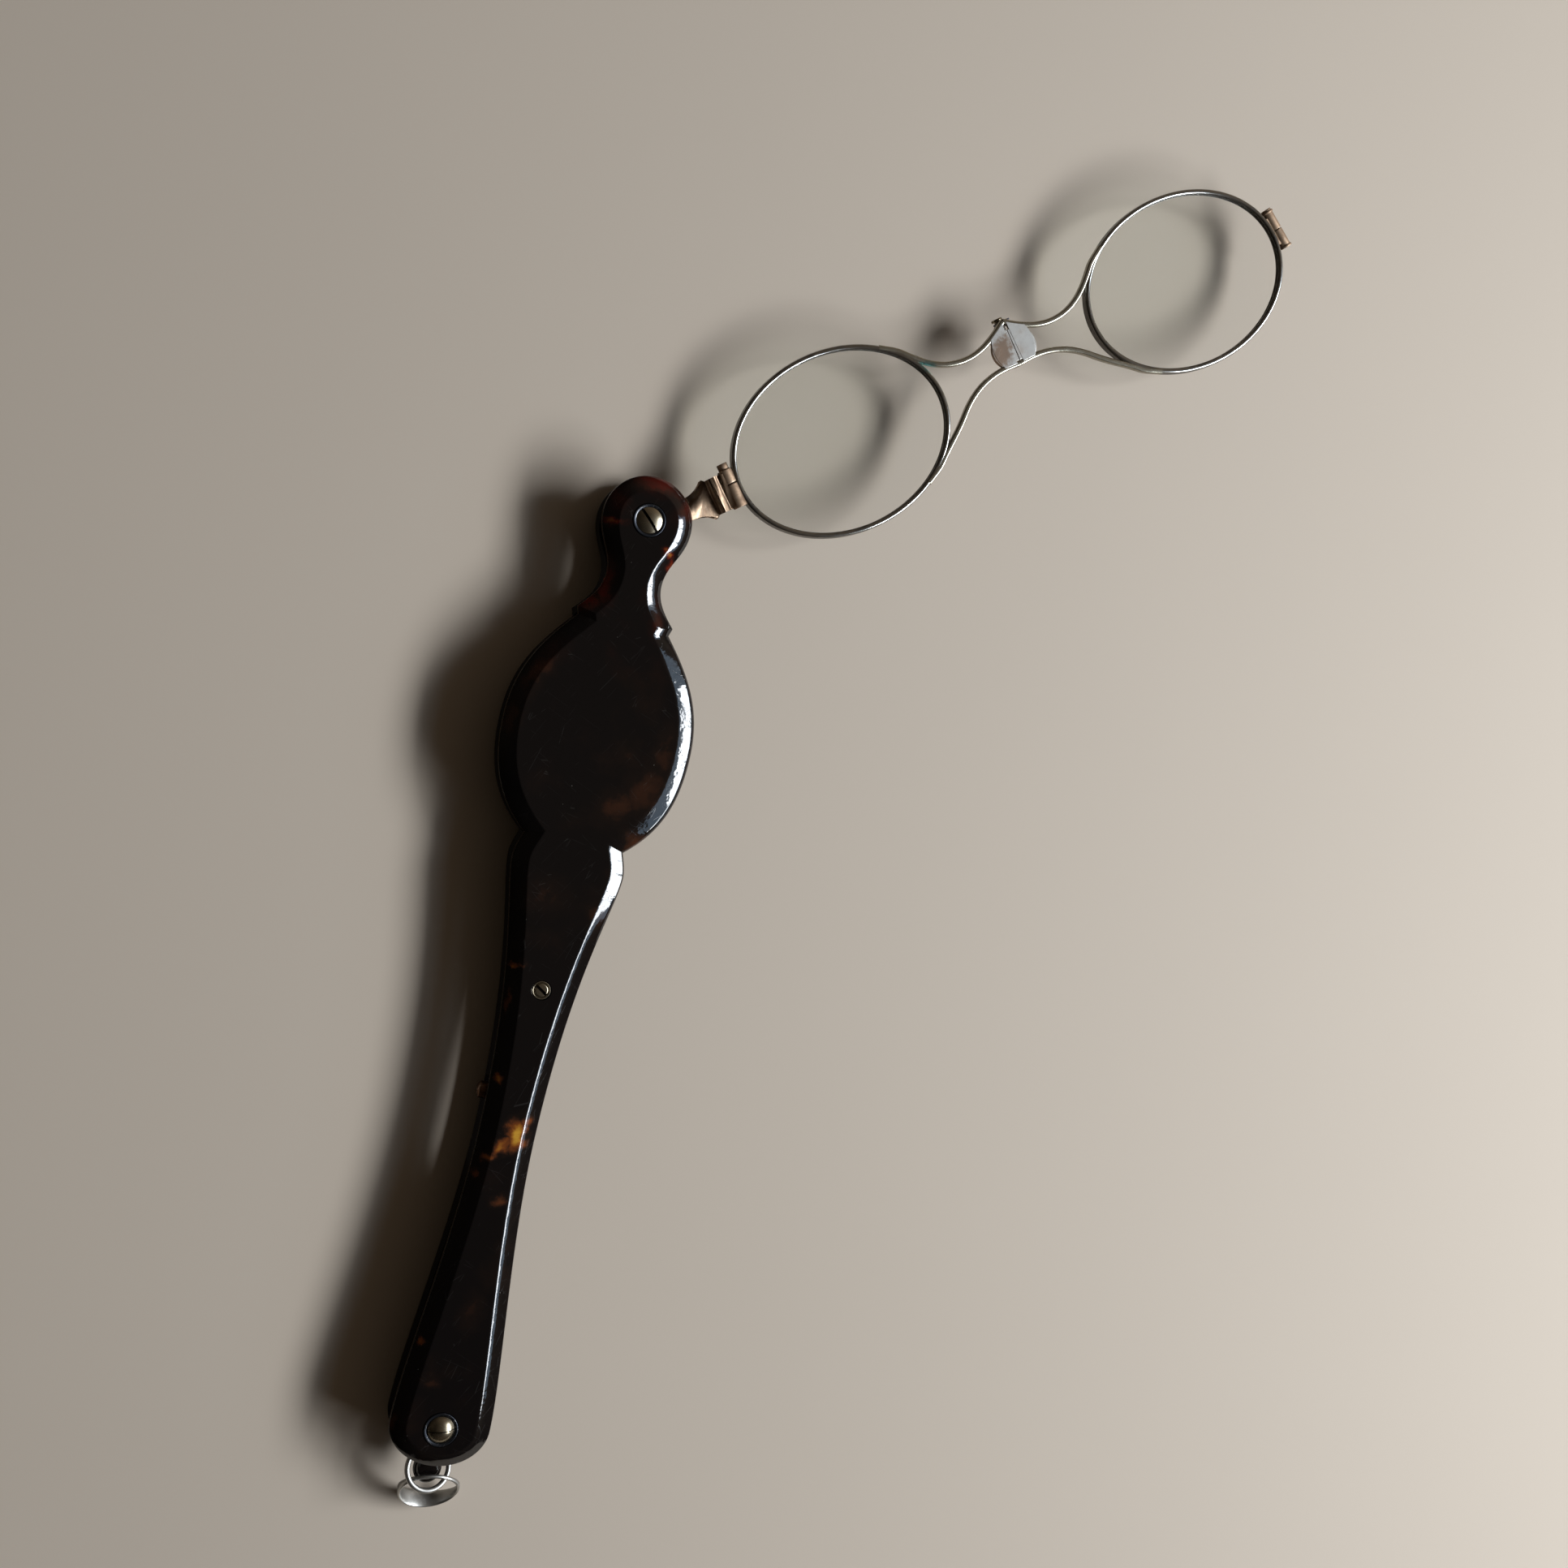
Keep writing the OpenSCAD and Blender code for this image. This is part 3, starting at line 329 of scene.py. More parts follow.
def softened(node, name, material, width, segments=2):
    """Copy of a CAD node's shape with its edges eased, as filed and polished metal has them."""
    mesh = NODES[node].data.copy()
    mesh.name = name
    bm = bmesh.new()
    bm.from_mesh(mesh)
    bmesh.ops.remove_doubles(bm, verts=bm.verts, dist=SAME_PLACE)
    bmesh.ops.dissolve_limit(bm, angle_limit=radians(1.0), verts=bm.verts, edges=bm.edges)
    bm.to_mesh(mesh)
    bm.free()
    mesh.shade_smooth()
    obj = link(name, mesh)
    bevel = obj.modifiers.new("eased edges", "BEVEL")
    bevel.width = width * MM
    bevel.segments = segments
    bevel.limit_method = "ANGLE"
    bevel.angle_limit = radians(32)
    bevel.use_clamp_overlap = True
    bevel.harden_normals = True
    baked(obj)
    return finish_piece(obj, node, material)


def turned(profile, steps):
    """Points and faces of a solid turned round Z from (radius, z) pairs that start and end on the axis."""
    points, faces, rings = [], [], []
    for r, z in profile:
        if r < ON_AXIS:
            rings.append([len(points)] * steps)
            points.append((0, 0, z))
        else:
            rings.append(list(range(len(points), len(points) + steps)))
            points += [(r * cos(2 * pi * i / steps), r * sin(2 * pi * i / steps), z) for i in range(steps)]
    for a, b in zip(rings, rings[1:]):
        for i in range(steps):
            j = (i + 1) % steps
            quad = [a[i], a[j], b[j], b[i]]
            face = [v for k, v in enumerate(quad) if v != quad[k - 1]]
            if len(set(face)) > 2:
                faces.append(face)
    return points, faces


def eased(profile, radius, steps=3):
    """A turned profile with its corners rounded, ends kept."""
    out = [Vector(profile[0])]
    for a, b, c in zip(profile, profile[1:], profile[2:]):
        a, b, c = Vector(a), Vector(b), Vector(c)
        u, v = (a - b), (c - b)
        cut = min(radius, u.length * 0.45, v.length * 0.45)
        p, q = b + u.normalized() * cut, b + v.normalized() * cut
        for i in range(steps + 1):
            t = i / steps
            out.append((1 - t) ** 2 * p + 2 * t * (1 - t) * b + t * t * q)
    return out + [Vector(profile[-1])]


def moved_points(points, matrix):
    """Points in mm, placed by a matrix."""
    return [matrix @ Vector(p).to_3d() for p in points]


# Geometry Nodes trees

class Tree:
    """Writes a node group and keeps the identifiers of its inputs."""

    def __init__(self, name, inputs):
        self.group = bpy.data.node_groups.new(name, "GeometryNodeTree")
        face = self.group.interface
        face.new_socket("Geometry", in_out="INPUT", socket_type="NodeSocketGeometry")
        self.ids = {}
        for label, kind, default, note in inputs:
            socket = face.new_socket(label, in_out="INPUT", socket_type="NodeSocket" + kind)
            socket.description = note
            if default is not None:
                socket.default_value = default
            self.ids[label] = socket.identifier
        face.new_socket("Geometry", in_out="OUTPUT", socket_type="NodeSocketGeometry")
        self.inlet = self.group.nodes.new("NodeGroupInput")
        self.outlet = self.group.nodes.new("NodeGroupOutput")

    def node(self, kind, settings=None, **sockets):
        made = self.group.nodes.new(kind)
        for key, value in (settings or {}).items():
            setattr(made, key, value)
        for key, value in sockets.items():
            self.feed(made, key.replace("_", " "), value)
        return made

    def feed(self, made, key, value):
        socket = made.inputs[int(key)] if key.isdigit() else made.inputs[key]
        if isinstance(value, bpy.types.NodeSocket):
            self.group.links.new(value, socket)
        elif isinstance(value, str) and value in self.ids:
            self.group.links.new(self.inlet.outputs[value], socket)
        else:
            socket.default_value = value

    def math(self, operation, a, b=None):
        made = self.node("ShaderNodeMath", {"operation": operation})
        self.feed(made, "0", a)
        if b is not None:
            self.feed(made, "1", b)
        return made.outputs[0]

    def end(self, geometry):
        """Realizes the shape, gives it the material and puts it out."""
        real = self.node("GeometryNodeRealizeInstances", Geometry=geometry)
        finish = self.node("GeometryNodeSetMaterial", Geometry=real.outputs[0], Material="Material")
        self.group.links.new(finish.outputs[0], self.outlet.inputs[0])
        return self

    def apply(self, obj, **values):
        """Puts the tree on an object with these input values, then applies it."""
        modifier = obj.modifiers.new(self.group.name, "NODES")
        modifier.node_group = self.group
        for label, value in values.items():
            modifier[self.ids[label.replace("_", " ")]] = value
        return baked(obj)


def formed_wire_tree():
    """Rounded rectangular wire along a path, with a groove in its inner side for a lens."""
    t = Tree("Formed wire", [
        ("Width", "Float", 0.001, "Width of the wire seen from the front"),
        ("Depth", "Float", 0.001, "Depth of the wire"),
        ("Rounding", "Float", 0.0002, "Radius along the wire's edges"),
        ("Groove", "Float", 0.0, "Depth of the groove"),
        ("Groove height", "Float", 0.0, "Height of the groove"),
        ("Material", "Material", None, "Finish of the wire"),
    ])
    path = t.node("GeometryNodeMeshToCurve", Mesh=t.inlet.outputs["Geometry"])
    upright = t.node("GeometryNodeSetCurveNormal", {"mode": "Z_UP"}, Curve=path.outputs[0])
    section = t.node("GeometryNodeCurvePrimitiveQuadrilateral", Width="Width", Height="Depth")
    rounded = t.node("GeometryNodeFilletCurve", {"mode": "POLY"}, Curve=section.outputs[0],
                     Count=5, Radius="Rounding")
    even = t.node("GeometryNodeResampleCurve", {"mode": "COUNT"}, Curve=rounded.outputs[0], Count=56)
    place = t.node("GeometryNodeInputPosition")
    axes = t.node("ShaderNodeSeparateXYZ", Vector=place.outputs[0])
    half_groove = t.math("MULTIPLY", "Groove height", 0.5)
    near_mid = t.math("LESS_THAN", t.math("ABSOLUTE", axes.outputs["Y"]), half_groove)
    inner = t.math("LESS_THAN", axes.outputs["X"], t.math("MULTIPLY", "Width", -0.49))
    both = t.math("MULTIPLY", near_mid, inner)
    push = t.node("ShaderNodeCombineXYZ")
    t.feed(push, "X", t.math("MULTIPLY", both, "Groove"))
    cut = t.node("GeometryNodeSetPosition", Geometry=even.outputs[0], Offset=push.outputs[0])
    solid = t.node("GeometryNodeCurveToMesh")
    t.feed(solid, "Curve", upright.outputs[0])
    t.feed(solid, "Profile Curve", cut.outputs[0])
    t.feed(solid, "Fill Caps", True)
    return t.end(solid.outputs[0])


def round_wire_tree():
    """Round wire along a path."""
    t = Tree("Round wire", [
        ("Radius", "Float", 0.0005, "Radius of the wire"),
        ("Sides", "Int", 16, "Points round the wire"),
        ("Material", "Material", None, "Finish of the wire"),
    ])
    path = t.node("GeometryNodeMeshToCurve", Mesh=t.inlet.outputs["Geometry"])
    ring = t.node("GeometryNodeCurvePrimitiveCircle", {"mode": "RADIUS"},
                  Resolution="Sides", Radius="Radius")
    solid = t.node("GeometryNodeCurveToMesh")
    t.feed(solid, "Curve", path.outputs[0])
    t.feed(solid, "Profile Curve", ring.outputs[0])
    t.feed(solid, "Fill Caps", True)
    return t.end(solid.outputs[0])


def slotted_screw_tree():
    """A turned screw blank with its slot sawn across the head."""
    t = Tree("Slotted screw", [
        ("Slot width", "Float", 0.00045, "Width of the slot"),
        ("Slot depth", "Float", 0.0004, "Depth of the slot"),
        ("Slot length", "Float", 0.008, "Length of the saw cut"),
        ("Top", "Float", 0.0, "Height of the head's top"),
        ("Turn", "Float", 0.0, "Heading of the slot"),
        ("Place", "Vector", None, "Where the screw stands"),
        ("Material", "Material", None, "Finish of the screw"),
    ])
    block = t.node("ShaderNodeCombineXYZ", X="Slot length", Y="Slot width")
    t.feed(block, "Z", t.math("MULTIPLY", "Slot depth", 2.0))
    saw = t.node("GeometryNodeMeshCube", Size=block.outputs[0])
    lift = t.node("ShaderNodeCombineXYZ", Z="Top")
    turn = t.node("ShaderNodeCombineXYZ", Z="Turn")
    laid = t.node("GeometryNodeTransform", Geometry=saw.outputs[0], Translation=lift.outputs[0],
                  Rotation=turn.outputs[0])
    cut = t.node("GeometryNodeMeshBoolean", {"operation": "DIFFERENCE", "solver": "EXACT"})
    t.feed(cut, "Mesh 1", t.inlet.outputs["Geometry"])
    t.feed(cut, "Mesh 2", laid.outputs[0])
    set_down = t.node("GeometryNodeTransform", Geometry=cut.outputs[0], Translation="Place")
    return t.end(set_down.outputs[0])


# Finishes

class Paint:
    """Writes one material's nodes."""

    def __init__(self, name):
        self.material = bpy.data.materials.new(name)
        self.material.use_nodes = True
        self.tree = self.material.node_tree
        self.shader = next(n for n in self.tree.nodes if n.type == "BSDF_PRINCIPLED")
        self.where = self.tree.nodes.new("ShaderNodeTexCoord")
        self.mm = self.vector("SCALE", self.where.outputs["Object"], scale=1.0 / MM)

    def put(self, key, value):
        self.join(self.shader.inputs[key], value)
        return self

    def add(self, kind, settings=None, **sockets):
        made = self.tree.nodes.new(kind)
        for key, value in (settings or {}).items():
            setattr(made, key, value)
        for key, value in sockets.items():
            self.join(made.inputs[key.replace("_", " ")], value)
        return made

    def join(self, socket, value):
        if isinstance(value, bpy.types.NodeSocket):
            self.tree.links.new(value, socket)
        else:
            socket.default_value = value

    def math(self, operation, a, b=None, c=None, clamp=False):
        made = self.add("ShaderNodeMath", {"operation": operation, "use_clamp": clamp})
        for socket, value in zip(made.inputs, (a, b, c)):
            if value is not None:
                self.join(socket, value)
        return made.outputs[0]

    def vector(self, operation, a, b=None, scale=None):
        made = self.add("ShaderNodeVectorMath", {"operation": operation})
        self.join(made.inputs[0], a)
        if b is not None:
            self.join(made.inputs[1], b)
        if scale is not None:
            self.join(made.inputs["Scale"], scale)
        return made.outputs["Value" if operation == "LENGTH" else "Vector"]

    def noise(self, size, detail=3.0, rough=0.55, at=None):
        """Noise whose features are about size mm across."""
        made = self.add("ShaderNodeTexNoise", {"noise_dimensions": "3D"}, Vector=at or self.mm,
                        Scale=1.0 / size, Detail=detail, Roughness=rough)
        return made.outputs["Fac"]

    def ramp(self, value, low, high, to_low=0.0, to_high=1.0):
        """Eased step from to_low, where the value is low, to to_high, where it is high."""
        made = self.add("ShaderNodeMapRange", {"interpolation_type": "SMOOTHSTEP"})
        for key, v in (("Value", value), ("From Min", low), ("From Max", high),
                       ("To Min", to_low), ("To Max", to_high)):
            self.join(made.inputs[key], v)
        return made.outputs["Result"]

    def mix(self, factor, a, b):
        made = self.add("ShaderNodeMix", {"data_type": "RGBA", "clamp_factor": True})
        self.join(made.inputs[0], factor)
        self.join(made.inputs[6], a)
        self.join(made.inputs[7], b)
        return made.outputs[2]

    def colours(self, value, stops):
        """Colour along a band of (position, colour) stops."""
        made = self.add("ShaderNodeValToRGB", Fac=value)
        band = made.color_ramp
        band.elements[0].position, band.elements[0].color = stops[0]
        band.elements[1].position, band.elements[1].color = stops[-1]
        for position, colour in stops[1:-1]:
            band.elements.new(position).color = colour
        return made.outputs["Color"]

    def turned_place(self, centre, radii, heading=0.0):
        """Place on the piece seen from a centre, as long as 1 on an ellipsoid of these radii in mm."""
        made = self.add("ShaderNodeMapping", {"vector_type": "TEXTURE"}, Vector=self.mm)
        made.inputs["Location"].default_value = (*centre, 0.0) if len(centre) == 2 else centre
        made.inputs["Rotation"].default_value = (0.0, 0.0, radians(heading))
        made.inputs["Scale"].default_value = radii
        return made.outputs[0]

    def bump(self, height, strength, distance):
        """Normal of a surface whose highs stand this distance, in mm, over its lows."""
        made = self.add("ShaderNodeBump", Height=height, Strength=strength, Distance=distance * MM)
        return made.outputs[0]

    def scratches(self, spacing, width, heading, long, keep):
        """Fine straight scratches, broken up so that only some show."""
        laid = self.add("ShaderNodeMapping", {"vector_type": "TEXTURE"}, Vector=self.mm)
        laid.inputs["Rotation"].default_value = (0.0, 0.0, radians(heading))
        laid.inputs["Scale"].default_value = (long * spacing, spacing, spacing)
        cells = self.add("ShaderNodeTexVoronoi", {"feature": "DISTANCE_TO_EDGE"},
                         Vector=laid.outputs[0], Scale=1.0, Randomness=1.0)
        line = self.ramp(cells.outputs["Distance"], 0.0, width / spacing, 1.0, 0.0)
        elsewhere = self.vector("ADD", self.mm, (heading, 3.0, 7.0))
        kept = self.ramp(self.noise(spacing * 1.7, 1.0, at=elsewhere), keep, keep + 0.05)
        return self.math("MULTIPLY", line, kept)

    def specks(self, spacing=1.9, size=0.065):
        """Small grains of dust, one here and there."""
        cells = self.add("ShaderNodeTexVoronoi", {"feature": "F1"}, Vector=self.mm, Scale=1.0 / spacing)
        near = self.ramp(cells.outputs["Distance"], 0.3 * size / spacing, size / spacing, 1.0, 0.0)
        chance = self.add("ShaderNodeSeparateColor", Color=cells.outputs["Color"])
        return self.math("MULTIPLY", near, self.math("GREATER_THAN", chance.outputs[0], 0.35))


# Clouds in the shell: centre in mm, radii in mm, heading, how clear the shell is there
CLOUDS = [
    ((0.0, 5.6, 8.6), (5.6, 2.2, 2.6), 0, 0.47), ((-5.4, 2.4, 8.4), (2.0, 3.6, 2.6), 20, 0.34),
    ((5.2, 3.2, 8.4), (2.2, 4.0, 2.6), -25, 0.40),
    ((-4.9, -1.2, 8.8), (2.6, 0.75, 1.4), 12, 0.66), ((3.5, -4.0, 9.3), (1.0, 0.9, 1.2), 0, 0.74),
    ((4.5, -5.2, 8.6), (0.9, 1.6, 1.4), 20, 0.56),
    ((-3.9, -9.6, 8.2), (1.5, 4.6, 2.6), 8, 0.52), ((-5.6, -13.0, 8.0), (2.4, 1.6, 2.2), 35, 0.48),
    ((4.2, -13.6, 9.2), (1.2, 2.6, 1.5), 10, 0.33),
    ((-10.2, -24.2, 8.2), (2.0, 6.0, 2.6), -28, 0.40), ((-12.4, -31.0, 8.0), (1.7, 4.6, 2.6), -4, 0.37),
    ((4.6, -40.0, 9.4), (3.6, 2.8, 1.4), 30, 0.38), ((8.0, -37.0, 9.3), (3.6, 5.0, 1.8), -30, 0.37),
    ((9.6, -31.4, 9.2), (2.2, 4.8, 1.6), 0, 0.33), ((8.2, -44.0, 8.4), (3.2, 2.4, 2.2), -40, 0.42),
    ((-4.8, -64.0, 8.9), (0.95, 0.55, 1.2), 0, 0.76), ((-3.6, -63.8, 9.2), (1.0, 0.5, 1.0), 0, 0.50),
    ((-4.3, -69.5, 8.8), (0.7, 3.0, 1.6), 4, 0.50), ((-3.1, -80.2, 8.9), (1.0, 1.0, 1.3), 0, 0.80),
    ((2.0, -85.2, 9.3), (1.6, 1.5, 1.5), 20, 0.64), ((1.1, -87.2, 9.4), (1.6, 2.5, 1.8), 20, 1.0),
    ((-0.5, -89.2, 9.4), (2.3, 1.2, 1.5), 40, 0.80), ((-2.2, -90.8, 9.2), (1.5, 0.8, 1.4), 35, 0.62),
    ((5.4, -55.4, 9.3), (1.8, 3.2, 1.6), 20, 0.34), ((-2.6, -54.0, 9.6), (4.0, 3.0, 1.0), 0, 0.28),
    ((-3.5, -93.3, 9.0), (0.8, 1.1, 1.3), 20, 0.56), ((0.9, -96.7, 9.4), (1.5, 1.2, 1.4), 15, 0.50),
    ((-5.6, -117.6, 8.8), (0.75, 1.0, 1.3), 10, 0.72), ((-2.9, -122.5, 9.4), (1.6, 1.2, 1.2), 0, 0.34),
    ((0.5, -112.3, 9.5), (1.8, 3.0, 1.2), 0, 0.28), ((-6.5, -129.5, 8.4), (0.9, 2.2, 2.0), 0, 0.42),
]


def tortoiseshell(look):
    """Dark shell with red, brown and amber clouds, polished, with fine scratches and some dust."""
    p = Paint("polished tortoiseshell")
    drift = p.add("ShaderNodeTexNoise", {"noise_dimensions": "3D"},
                  Vector=p.mm, Scale=0.42, Detail=4.0, Roughness=0.54)
    wander = p.vector("SCALE", p.vector("SUBTRACT", drift.outputs["Color"], (0.5, 0.5, 0.5)), scale=3.2)
    ragged = p.vector("ADD", p.mm, wander)
    plain_place = p.mm
    p.mm = ragged
    clear = None
    for centre, radii, heading, strength in CLOUDS:
        reach = p.vector("LENGTH", p.turned_place(centre, radii, heading))
        cloud = p.math("MULTIPLY", p.ramp(reach, 0.15, 1.45, 1.0, 0.0), strength)
        clear = cloud if clear is None else p.math("MAXIMUM", clear, cloud)
    p.mm = plain_place
    faint = p.math("MULTIPLY", p.ramp(p.noise(9.0, 4.0, 0.6), 0.50, 0.78), 0.30)
    deep = p.math("MAXIMUM", clear, faint)
    grain = p.math("MULTIPLY_ADD", p.noise(0.8, 4.0, 0.65), 0.16, -0.08)
    amount = p.math("ADD", deep, p.math("MULTIPLY", grain, deep), clamp=True)
    warm = [(0.66, (0.16, 0.043, 0.010, 1)), (0.84, (0.33, 0.125, 0.018, 1)), (1.0, look.shell_amber)]
    red = p.colours(amount, [(0.0, look.shell_dark), (0.20, (0.010, 0.004, 0.0035, 1)),
                             (0.36, (0.030, 0.0065, 0.004, 1)), (0.50, look.shell_red)] + warm)
    brown = p.colours(amount, [(0.0, look.shell_dark), (0.24, (0.0085, 0.005, 0.004, 1)),
                               (0.40, (0.034, 0.0125, 0.0065, 1)), (0.52, look.shell_brown)] + warm)
    along = p.add("ShaderNodeSeparateXYZ", Vector=p.mm)
    colour = p.mix(p.ramp(along.outputs["Y"], -26.0, -15.0), brown, red)
    marks = p.math("MAXIMUM", p.scratches(1.5, 0.014, 62, 9.0, 0.56),
                   p.scratches(2.1, 0.013, -24, 10.0, 0.57))
    dust = p.specks()
    colour = p.mix(p.math("MULTIPLY", marks, 0.03), colour, (0.45, 0.42, 0.38, 1))
    colour = p.mix(p.math("MULTIPLY", dust, 0.45), colour, (0.55, 0.52, 0.47, 1))
    p.put("Base Color", colour)
    smear = p.ramp(p.noise(5.0, 5.0, 0.6), 0.42, 0.75, 0.045, 0.12)
    wear = p.math("MULTIPLY", p.math("MAXIMUM", marks, dust), 0.18)
    p.put("Roughness", p.math("ADD", smear, wear, clamp=True))
    p.put("IOR", 1.48).put("Coat Weight", 0.12).put("Coat Roughness", 0.05).put("Coat IOR", 1.5)
    facing = p.add("ShaderNodeSeparateXYZ", Vector=p.where.outputs["Normal"])
    filed = p.math("MULTIPLY", p.ramp(facing.outputs["Z"], 0.94, 0.99, 1.0, 0.0), p.noise(1.4, 2.0, 0.5))
    height = p.math("SUBTRACT", p.math("MULTIPLY", p.noise(3.2, 2.0), 0.7), p.math("MULTIPLY", marks, 0.18))
    height = p.math("MULTIPLY_ADD", filed, 3.0, height)
    p.put("Normal", p.bump(height, 0.30, 0.035))
    return p.material


def worn_metal_with_painted_shade(name, colour, tarnish_and_shade, rough, patches, sides=0.6, streak=45.0, spots=(), slots=()):
    """Old polished metal: bright on top, with painted shade down its sides, tarnished patches and fine
    wear.

    patches says how far the metal is tarnished in patches, sides how much painted shade darkens its sides,
    streak is the scratches' heading, spots are (centre, radii, colour) in mm, and slots are screw slots
    laid out as SLOTS is, each painted near-black inside as painted shade with some dirt.
    """
    p = Paint(name)
    facing = p.add("ShaderNodeSeparateXYZ", Vector=p.where.outputs["Normal"])
    # Painted shade: faces that turn away from straight up are darkened toward the dark colour, as much as
    # sides says
    side = p.ramp(facing.outputs["Z"], 0.15, 0.8, 1.0, 0.0)
    cloud = p.ramp(p.noise(2.6, 4.0, 0.55), 0.46, 0.72)
    fine = p.ramp(p.noise(0.5, 2.0, 0.5), 0.52, 0.78)
    patched = p.math("MULTIPLY", p.math("MAXIMUM", cloud, p.math("MULTIPLY", fine, 0.35)), patches)
    # The tarnished patches and the painted side shade together say how far the colour goes dark
    amount = p.math("MAXIMUM", patched, p.math("MULTIPLY", side, sides), clamp=True)
    mixed = p.mix(amount, colour, tarnish_and_shade)
    for centre, radii, tone in spots:
        reach = p.vector("LENGTH", p.turned_place(centre, radii))
        ragged = p.math("ADD", reach, p.math("MULTIPLY_ADD", p.noise(0.5, 3.0), 1.2, -0.6))
        mixed = p.mix(p.ramp(ragged, 0.45, 1.15, 0.85, 0.0), mixed, tone)
    marks = p.math("MAXIMUM", p.scratches(0.9, 0.02, streak, 6.0, 0.48),
                   p.scratches(1.3, 0.02, streak + 70, 5.0, 0.52))
    mixed = p.mix(p.math("MULTIPLY", marks, 0.22), mixed, (0.85, 0.82, 0.76, 1))
    p.put("Metallic", 1.0)
    rough = p.math("MULTIPLY_ADD", amount, 0.16, rough)
    # Painted shade, with some dirt: the inside of each screw slot is painted near-black and made rough
    for y, half, wide, heading in slots:
        place = p.turned_place((0.0, y), (half, wide / 2, 1.0), heading)
        across = p.add("ShaderNodeSeparateXYZ", Vector=place)
        slot_shade_mask = p.math("MULTIPLY", p.math("LESS_THAN", p.math("ABSOLUTE", across.outputs["X"]), 1.0),
                        p.math("LESS_THAN", p.math("ABSOLUTE", across.outputs["Y"]), 1.0))
        mixed = p.mix(slot_shade_mask, mixed, (0.012, 0.009, 0.007, 1))
        rough = p.math("MAXIMUM", rough, p.math("MULTIPLY", slot_shade_mask, 0.6))
    p.put("Base Color", mixed)
    p.put("Roughness", p.math("MULTIPLY_ADD", p.noise(0.7, 3.0), 0.08, rough))
    height = p.math("SUBTRACT", p.math("MULTIPLY", p.noise(1.3, 2.0, 0.5), 0.8),
                    p.math("MULTIPLY", marks, 0.12))
    p.put("Normal", p.bump(height, 0.22, 0.02))
    return p.material


def clear_glass():
    """Glass with a little haze and a few scratches, which lets light through to the floor."""
    p = Paint("old clear glass")
    haze = p.ramp(p.noise(6.0, 4.0, 0.6), 0.55, 0.85)
    marks = p.scratches(5.0, 0.02, 30, 4.0, 0.56)
    p.put("Base Color", (0.985, 0.99, 0.985, 1.0))
    p.put("Transmission Weight", 1.0).put("IOR", 1.5)
    p.put("Roughness", p.math("ADD", p.math("MULTIPLY", haze, 0.03), p.math("MULTIPLY", marks, 0.12)))
    p.put("Normal", p.bump(p.noise(9.0, 1.0), 0.08, 0.02))
    through = p.add("ShaderNodeBsdfTransparent", Color=(0.93, 0.94, 0.93, 1.0))
    path = p.add("ShaderNodeLightPath")
    passing = p.math("MAXIMUM", path.outputs["Is Shadow Ray"], path.outputs["Is Diffuse Ray"])
    either = p.add("ShaderNodeMixShader", Fac=passing)
    p.tree.links.new(p.shader.outputs[0], either.inputs[1])
    p.tree.links.new(through.outputs[0], either.inputs[2])
    out = next(n for n in p.tree.nodes if n.type == "OUTPUT_MATERIAL")
    p.tree.links.new(either.outputs[0], out.inputs["Surface"])
    return p.material


def floor_paint(look):
    """Matt floor with a faint, broad unevenness."""
    p = Paint("pale floor")
    p.put("Base Color", p.mix(p.math("MULTIPLY", p.noise(40.0, 3.0), 0.25), look.floor,
                              tuple(0.93 * c for c in look.floor[:3]) + (1.0,)))
    p.put("Roughness", 0.75)
    return p.material


# Finishes by name, filled by the finishes operator
FINISH = {}


# Operators

class PieceOperator:
    """Runs build on the scene, which raises an error where it can't finish."""

    bl_options = {"REGISTER", "UNDO"}

    def execute(self, context):
        self.build(context.scene)
        return {"FINISHED"}


